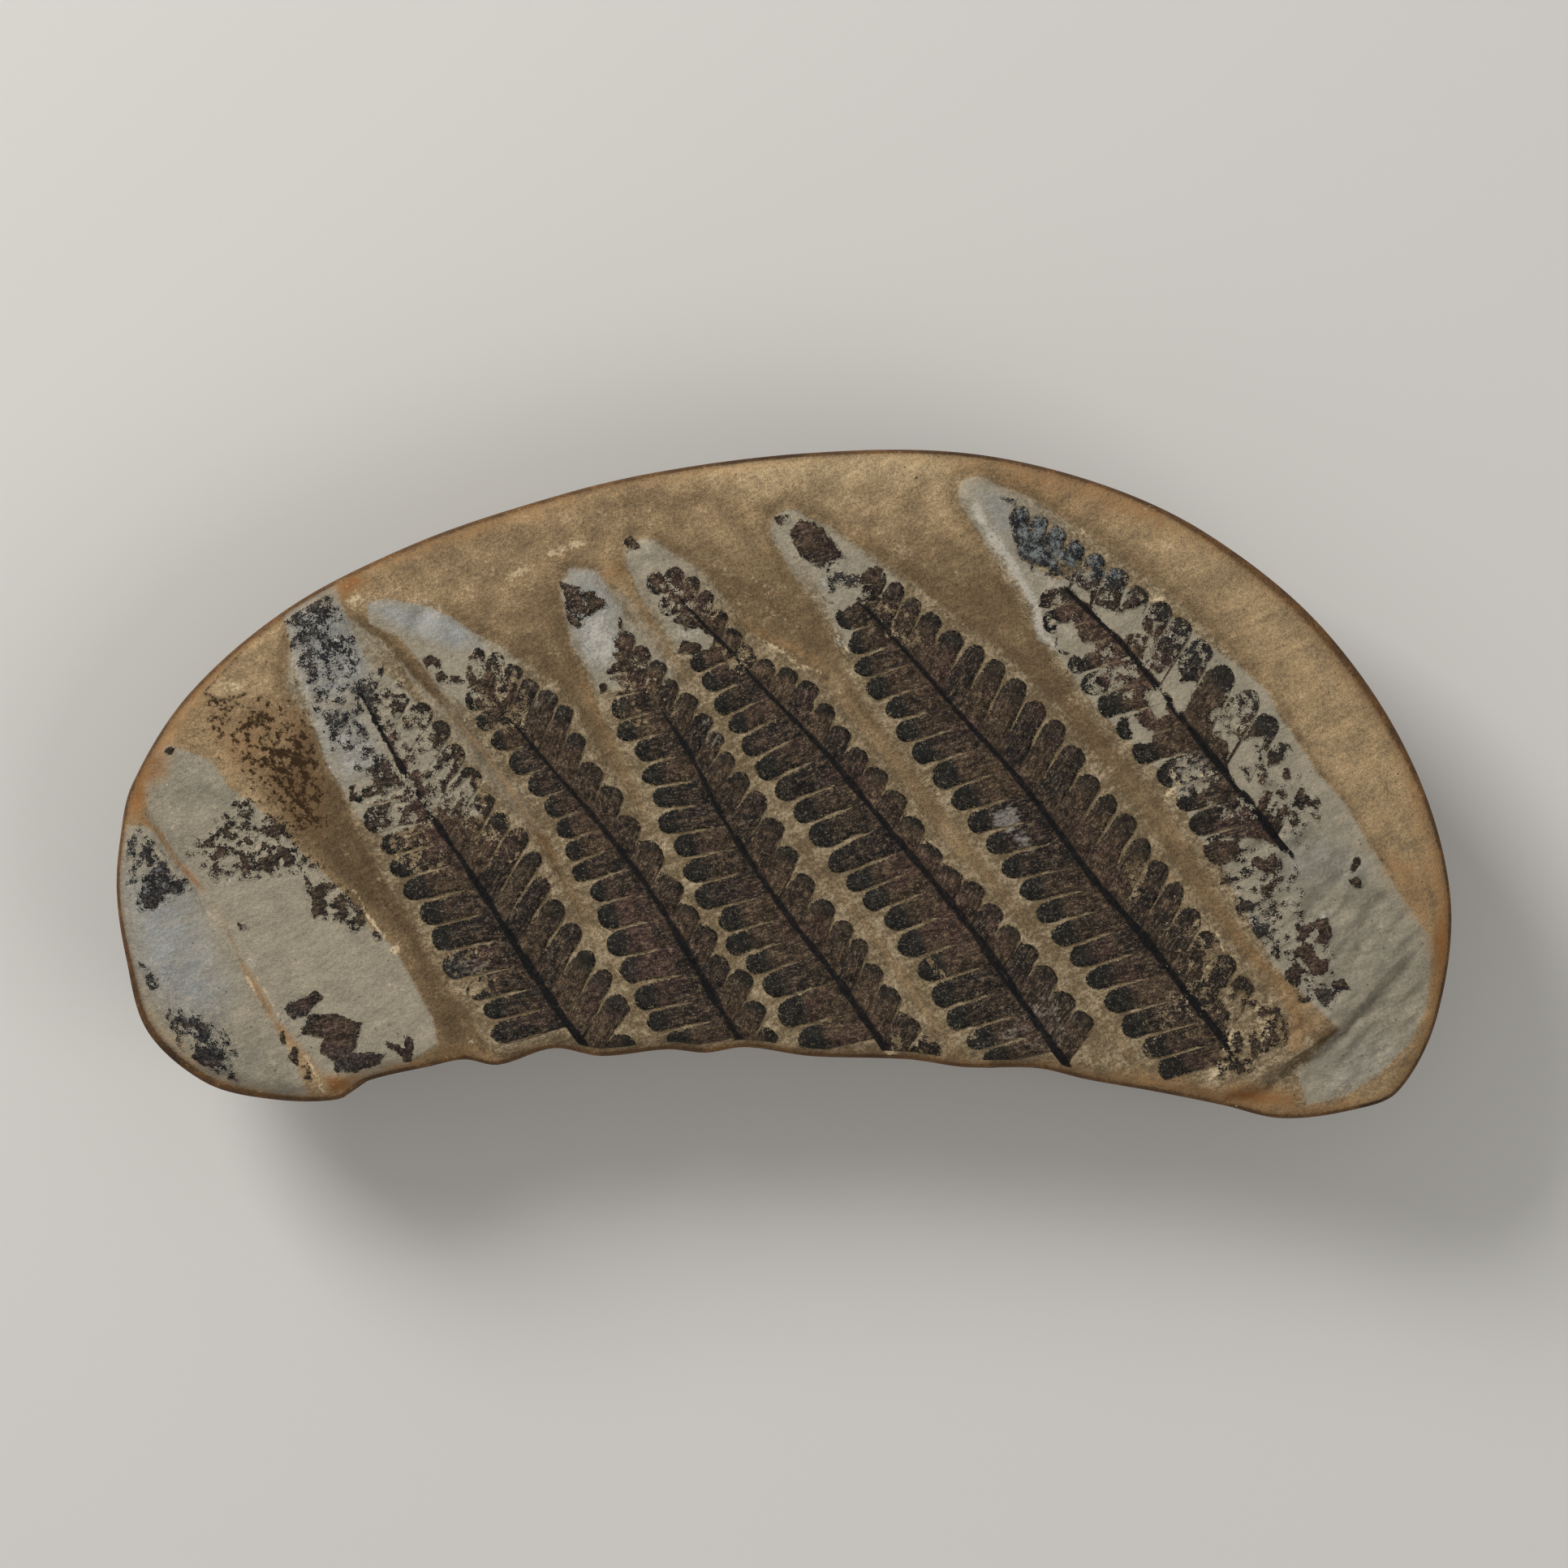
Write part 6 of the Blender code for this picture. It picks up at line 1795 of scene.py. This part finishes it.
def tan_stone(n):
    """The colour of the stone between the leaflets, and of their bands."""
    shade = n.mix(n.ramp(n.sum(n.broad, n.patch, 0.4), *TAN_PATCHES), TAN_DARK, TAN)
    shade = n.laid(shade, "light", n.ramp(n.patch, *LIGHT_PATCHES), TAN_LIGHT)
    # brown stone, with painted shade in some grooves and below the step
    shade = n.laid(shade, "brown", n.ramp(n.broad, *BROWN_PATCHES), BROWN_STONE)
    mixed = n.sum(n.patch, n.sum(n.fibre, n.grain))
    band = n.mix(n.ramp(mixed, *BAND_PATCHES), BAND_TAN, BAND_PALE)
    shade = n.laid(shade, "band", BAND_STRENGTH, band)
    shade = n.laid(shade, "groove", GROOVE_STRENGTH, BROWN_STONE)
    clouds = n.times(n.ramp(n.fibre, *FIBRE_CLOUDS), n.ramp(n.patch, *PATCH_CLOUDS))
    return n.scaled(shade, n.times(n.mottle, clouds))


# %% The pale stone, where the film is gone
BLUE_PATCHES = (0.3, 0.6, 0.6, 1.0)
GREY_PATCHES = (0.3, 0.6, 1.0, 0.6)
FIBRE_SHOWS = (0.45, 0.65, 0.3)
PALE_GRAIN = (0.25, 0.75, 0.84, 1.16)
PALE_CLOUDS = (0.7, 1.3, 0.86, 1.14)
DUST = (0.6, 4.0, 0.75)
DUST_SHOWS = (0.42, 0.6)
DUST_STRENGTH = 0.45


def pale_stone(n):
    """Beige to blue-grey stone, with soot rubbed into it."""
    pale = n.laid(BEIGE, "blue", n.ramp(n.patch, *BLUE_PATCHES), BLUE_GREY)
    pale = n.laid(pale, "grey", n.ramp(n.patch, *GREY_PATCHES), GREY_STONE)
    pale = n.over(pale, n.fibre, FIBRE_SHOWS, BEIGE)
    clouds = n.ramp(n.sum(n.fibre, n.patch), *PALE_CLOUDS)
    pale = n.scaled(pale, n.times(n.ramp(n.grain, *PALE_GRAIN), clouds))
    dust = n.ramp(n.noise(n.moved(n.at, 13.0), *DUST), *DUST_SHOWS)
    return n.laid(pale, "soot", n.times(dust, DUST_STRENGTH), SOOT_DUST)


# %% [markdown]
# Age lies over both: iron has rusted the rim from orange to red-brown, and the back is a dark
# crust. Last come small marks: a brown stain full of specks, cracks and painted shadow lines
# at the step and beside crests, cream chips, and dark and white grains.

# %% Rust, crust and marks
WHITENING_AND_HIGHLIGHTS = (1.3, 0.7)
WHITE_STRENGTH = 0.7
RUST_FRAY = 0.8
RUST_DEEPENS = (0.3, 0.9)
RUST_SHOWS = (0.05, 1.0)
CRUST_RUSTS = (0.4, 0.62)
CRUST_DARKENS = (0.5, 0.7)
STAIN_SHOWS = (0.3, 1.0, 0.5)
STAIN_GRAIN = (0.7, 4.0, 0.75)
STAIN_FRAY = 6.0
STAIN_SPECKS = (0.8, 1.35)
STAIN_STARTS = (0.05, 0.3)
CRACK_AND_SHADOW_FRAY = 1.5
CRACK_AND_SHADOW_SHOWS = (0.3, 0.8)
CREAM_EDGE = (1.4, 0.5)
# Spots have their spacing and their radius in millimetres, and are this strong
DARK_SPOTS, DARK_STRENGTH = (1.2, 0.13), 0.5
WHITE_SPOTS, WHITE_SPOT_STRENGTH = (4.0, 0.1), 0.8


def aged(n, shade):
    """Whitening with painted highlights, rust and crust over a shade."""
    # whitened stone, with painted highlights along a crest and a margin
    shade = n.mix(n.times(n.ragged("white", *WHITENING_AND_HIGHLIGHTS), WHITE_STRENGTH), shade, WHITE_STONE)
    rust = n.frayed("rust", RUST_FRAY)
    rusty = n.mix(n.ramp(rust, *RUST_DEEPENS), ORANGE_TAN, RUST_STONE)
    shade = n.mix(n.ramp(rust, *RUST_SHOWS), shade, rusty)
    crust = n.mix(n.ramp(n.patch, *CRUST_RUSTS), CRUST_BROWN, CRUST_RUSTY)
    crust = n.mix(n.ramp(n.broad, *CRUST_DARKENS), crust, CRUST_DARK)
    return n.mix(n.layer("crust"), shade, n.scaled(crust, n.mottle))


def marked(n, shade):
    """The stain, cracks and painted shadow lines, chips and grains over a shade."""
    stain = n.layer("stain")
    shade = n.over(shade, stain, STAIN_SHOWS, STAIN_BROWN)
    specks = n.sum(stain, n.sum(n.noise(n.at, *STAIN_GRAIN), -0.5), STAIN_FRAY)
    specks = n.times(n.ramp(specks, *STAIN_SPECKS), n.ramp(stain, *STAIN_STARTS))
    shade = n.mix(specks, shade, STAIN_SPECK)
    # cracks, and painted shadow lines at the step and beside crests
    crack_and_shadow = n.sum(n.layer("crack_and_shadow"), n.sum(n.grain, -0.5), CRACK_AND_SHADOW_FRAY)
    shade = n.mix(n.ramp(crack_and_shadow, *CRACK_AND_SHADOW_SHOWS), shade, CRACK_AND_SHADOW_BROWN)
    shade = n.mix(n.ragged("cream", *CREAM_EDGE), shade, CREAM_STONE)
    shade = n.mix(n.times(n.spots(n.at, *DARK_SPOTS), DARK_STRENGTH), shade, DARK_SPECK)
    white = n.times(n.spots(n.moved(n.at, 31.0), *WHITE_SPOTS), WHITE_SPOT_STRENGTH)
    return n.mix(white, shade, WHITE_SPECK)


# %% One group for bare stone
PALE_EDGE = (0.3, 0.5)


def stone_group():
    """The colour and the height of bare stone."""
    tree = bpy.data.node_groups.new("bare stone", "ShaderNodeTree")
    tree.interface.new_socket("Color", in_out="OUTPUT", socket_type="NodeSocketColor")
    tree.interface.new_socket("Height", in_out="OUTPUT", socket_type="NodeSocketFloat")
    n = StoneNodes(tree)
    shade = n.mix(n.ragged("pale", *PALE_EDGE), tan_stone(n), pale_stone(n))
    out = tree.nodes.new("NodeGroupOutput")
    tree.links.new(marked(n, aged(n, shade)), out.inputs["Color"])
    tree.links.new(n.sum(n.sum(n.grain, n.patch), n.fine, 0.5), out.inputs["Height"])
    return tree


bare_stone = stone_group()
print("bare stone:", len(bare_stone.nodes), "nodes")

# %% The stone's finish
STONE_ROUGHNESS = 0.85
STONE_SPECULAR = 0.2
STONE_BUMP = 0.16


def finish_of(name, kind=Nodes):
    """A new material, with its nodes and its shader."""
    material = bpy.data.materials.new(name)
    material.use_nodes = True
    return material, kind(material.node_tree), material.node_tree.nodes["Principled BSDF"]


def with_bare_stone(n):
    """The bare stone's colour and height, in a finish."""
    group = n.tree.nodes.new("ShaderNodeGroup")
    group.node_tree = bare_stone
    return group.outputs["Color"], group.outputs["Height"]


def bumped(n, shader, height, depth):
    """Fine relief from a height, depth millimetres deep."""
    bump = n.make("ShaderNodeBump", {"Height": height, "Distance": depth * MM})
    n.tree.links.new(bump, shader.inputs["Normal"])


def stone_finish():
    material, n, shader = finish_of("stone")
    shade, height = with_bare_stone(n)
    n.tree.links.new(shade, shader.inputs["Base Color"])
    shader.inputs["Roughness"].default_value = STONE_ROUGHNESS
    shader.inputs["Specular IOR Level"].default_value = STONE_SPECULAR
    bumped(n, shader, height, STONE_BUMP)
    return material


stone.data.materials.append(stone_finish())
print("the stone's finish:", stone.data.materials[0].name)

# %% [markdown]
# The film is a brown crust of carbon, grainy like fine soot. Along each pinnule run streaks, its
# tip is nearly black, and a pale seam parts it from its neighbours. Where the film is flaked, the
# bare stone's colour takes over, with an edge as fine as the grain.

# %% The film's colours and noises
FILM_BROWN = colour("3f3225")
FILM_DEEP = colour("211c18")
FILM_REDDISH = colour("43302a")
FILM_STREAK = colour("604f3d")
FILM_TIP = colour("171916")
FILM_SOOT = colour("1f2427")
FILM_CRUMB = colour("8a7962")
SOOT_CRUMB = colour("888d8a")
FILM_SHEEN = colour("a39b90")
SEAM_PALE = colour("978566")
RACHIS_BLACK = colour("08090b")
VEINS = (0.22, 3.0, 0.7)
VEIN_LENGTH = 4.0
FILM_PATCHES = (1.0, 4.0, 0.7)
FILM_GRAIN = (0.34, 3.0, 0.75)
FILM_FINE = (0.13, 2.0, 0.6)


class FilmNodes(Nodes):
    """The nodes of the film, with the noises that its layers share."""

    def __init__(self, tree):
        super().__init__(tree)
        self.at = self.millimetres()
        lengthwise = self.make("ShaderNodeAttribute", {}, out="Vector", attribute_name="vein")
        self.veins = self.noise(self.streaked(lengthwise, 0.0, VEIN_LENGTH), *VEINS)
        self.patch = self.noise(self.at, *FILM_PATCHES)
        self.grain = self.noise(self.at, *FILM_GRAIN)
        self.fine = self.noise(self.moved(self.at, 9.0), *FILM_FINE)
        self.rough = self.sum(self.sum(self.grain, self.fine), -1.0)


# %% The carbon itself
TONES = (0.34, 0.62)
REDDISH_PATCHES = (3.0, 2.0)
REDDISH_SHOWS = (0.5, 0.75, 0.8)
STREAK_SHOWS = (0.48, 0.68, 0.6)
STREAK_SHADE = (0.3, 0.6, 0.6, 1.15)
TIP_SHOWS = (0.2, 0.75, 0.9)
EDGE_SHOWS = (0.6, 0.05, 0.5)
SOOT_STRENGTH = 0.8
GRAIN_SHADE = (-0.28, 0.28, 0.4, 1.7)
FILM_CLOUDS = (0.8, 3.0, 0.7)
FILM_CLOUD_SHADE = (0.3, 0.7, 0.46, 1.64)


def carbon(n):
    """Brown carbon with streaks, a dark tip and a dark edge to each pinnule."""
    tone = n.sum(n.patch, n.sum(n.layer("tone"), -0.5), 0.5)
    shade = n.mix(n.ramp(tone, *TONES), FILM_DEEP, FILM_BROWN)
    reddish = n.sum(n.times(n.layer("ruddy"), 0.3), n.noise(n.moved(n.at, 5.0), *REDDISH_PATCHES))
    shade = n.over(shade, reddish, REDDISH_SHOWS, FILM_REDDISH)
    shade = n.over(shade, n.veins, STREAK_SHOWS, FILM_STREAK)
    shade = n.scaled(shade, n.ramp(n.veins, *STREAK_SHADE))
    darkness = n.sum(n.times(n.layer("tone"), 0.9), 0.45)
    tip = n.sum(n.times(n.layer("tip"), darkness), n.rough, 0.8)
    shade = n.over(shade, tip, TIP_SHOWS, FILM_TIP)
    shade = n.over(shade, n.sum(n.layer("edge"), n.rough, 0.9), EDGE_SHOWS, FILM_TIP)
    shade = n.laid(shade, "soot", SOOT_STRENGTH, FILM_SOOT)
    shade = n.scaled(shade, n.ramp(n.rough, *GRAIN_SHADE))
    clouds = n.noise(n.moved(n.at, 17.0), *FILM_CLOUDS)
    return n.scaled(shade, n.ramp(clouds, *FILM_CLOUD_SHADE))


# %% Crumbs, seams, painted sheen and the rachis
CRUMB_SHOWS = (0.6, 0.75, 0.75)
SOOT_CRUMBS = (0.75, 1.5)
SOOT_CRUMB_STRENGTH = 0.75
SEAM_LINE = (0.13, 0.04)
SEAM_STRENGTH = (0.0, 1.0, 0.85, 0.3)
SCRATCH_SHOWS = (0.45, 0.75, 0.8)
SHEEN_SHOWS = (2.15, 3.0, 0.75)
RACHIS_EDGE = (0.35, 0.6)
RACHIS_GRAIN = (0.3, 0.7, 1.0, 0.85)


def worn(n, shade):
    """What lies on the carbon, a painted sheen, and what shows in its gaps."""
    crumbs = n.sum(n.fine, n.sum(n.grain, -0.5), 0.8)
    shade = n.over(shade, crumbs, CRUMB_SHOWS, FILM_CRUMB)
    blue = n.sum(n.sum(n.layer("soot"), n.sum(n.patch, -0.5), 2.5), n.rough, 1.5)
    blue = n.times(n.ramp(blue, *SOOT_CRUMBS), SOOT_CRUMB_STRENGTH)
    shade = n.laid(shade, "soot", blue, SOOT_CRUMB)
    seam = n.ramp(n.sum(n.layer("seam"), n.rough, 0.3), *SEAM_LINE)
    shade = n.mix(n.times(seam, n.ramp(n.layer("soot"), *SEAM_STRENGTH)), shade, SEAM_PALE)
    scratch = n.sum(n.layer("cream"), n.rough, 1.2)
    shade = n.over(shade, scratch, SCRATCH_SHOWS, CREAM_STONE)
    # painted sheen: whitish patches along the veins
    painted_sheen = n.sum(n.layer("sheen"), n.sum(n.veins, n.sum(n.patch, n.grain)), 1.2)
    shade = n.over(shade, painted_sheen, SHEEN_SHOWS, FILM_SHEEN)
    rachis = n.ramp(n.sum(n.layer("rachis"), n.rough, 1.3), *RACHIS_EDGE)
    return n.mix(n.times(rachis, n.ramp(n.grain, *RACHIS_GRAIN)), shade, RACHIS_BLACK)


# %% The film's finish
GONE_WIDTH = 0.03
FILM_FRAY = 0.9
FILM_ROUGHNESS = 0.66
FILM_SPECULAR = 0.15
FILM_BUMP = 0.1


def film_finish():
    material, n, shader = finish_of("fern_film", FilmNodes)
    bare, _ = with_bare_stone(n)
    fray = n.times(n.rough, n.sum(FILM_FRAY, n.layer("soot"), 1.0))
    flaked_off = n.sum(n.layer("flake"), fray)
    gone = n.ramp(flaked_off, GONE - GONE_WIDTH, GONE + GONE_WIDTH)
    shade = n.mix(gone, worn(n, carbon(n)), bare)
    n.tree.links.new(shade, shader.inputs["Base Color"])
    roughness = n.ramp(gone, 0.0, 1.0, FILM_ROUGHNESS, STONE_ROUGHNESS)
    n.tree.links.new(roughness, shader.inputs["Roughness"])
    shader.inputs["Specular IOR Level"].default_value = FILM_SPECULAR
    bumped(n, shader, n.sum(n.sum(n.veins, n.grain), n.fine), FILM_BUMP)
    return material


film_material = film_finish()
for film in films:
    film.data.materials.append(film_material)
print("the film:", len(film_material.node_tree.nodes), "nodes, on", len(films), "pieces")

# %% Tie the pieces to the frame
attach(stone, "root")
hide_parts("nodule")
for film in films:
    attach(film, "root")

# %% [markdown]
# The stage is a plain pale floor under soft light. A large lamp from the upper left shows the
# relief as in the photograph, and the camera looks straight down.

# %% Floor and light
FLOOR_SIZE = 3.0
FLOOR_COLOUR = colour("cfccc6")
FLOOR_ROUGHNESS = 0.9
SKY_STRENGTH = 0.35
LAMPS = [
    # place in metres, size, watts
    ((-0.42, 0.42, 0.42), 0.3, 4.3),
    ((0.5, -0.3, 0.6), 0.5, 1.6),
]


def make_floor():
    bpy.ops.mesh.primitive_plane_add(size=FLOOR_SIZE, location=(0, 0, 0))
    floor = bpy.context.object
    floor.name = "floor"
    material, _, shader = finish_of("floor")
    shader.inputs["Base Color"].default_value = FLOOR_COLOUR
    shader.inputs["Roughness"].default_value = FLOOR_ROUGHNESS
    floor.data.materials.append(material)


def make_lamp(place, size, power):
    lamp = bpy.data.lights.new("lamp", "AREA")
    lamp.size = size
    lamp.energy = power
    holder = bpy.data.objects.new("lamp", lamp)
    holder.location = place
    holder.rotation_euler = (-Vector(place)).to_track_quat("-Z", "Y").to_euler()
    bpy.context.scene.collection.objects.link(holder)


make_floor()
for lamp in LAMPS:
    make_lamp(*lamp)
world = bpy.data.worlds.new("studio")
world.use_nodes = True
sky = world.node_tree.nodes["Background"]
sky.inputs["Color"].default_value = (1, 1, 1, 1)
sky.inputs["Strength"].default_value = SKY_STRENGTH
bpy.context.scene.world = world
bpy.context.scene.view_settings.view_transform = "Standard"
print("lamps:", len(LAMPS))

# %% Camera
PHOTO_SIZE = 1932.0
LENS = 150.0
SENSOR = 36.0
frame_width = PHOTO_SIZE * LENGTH / LENGTH_IN_PHOTO * MM
camera = bpy.data.objects.new("camera", bpy.data.cameras.new("camera"))
camera.data.lens = LENS
camera.data.sensor_width = SENSOR
camera.location = (0, 0, FACE_LEVEL * MM + frame_width * LENS / SENSOR)
bpy.context.scene.collection.objects.link(camera)
bpy.context.scene.camera = camera
print("the camera is", round(camera.location.z, 3), "m up")
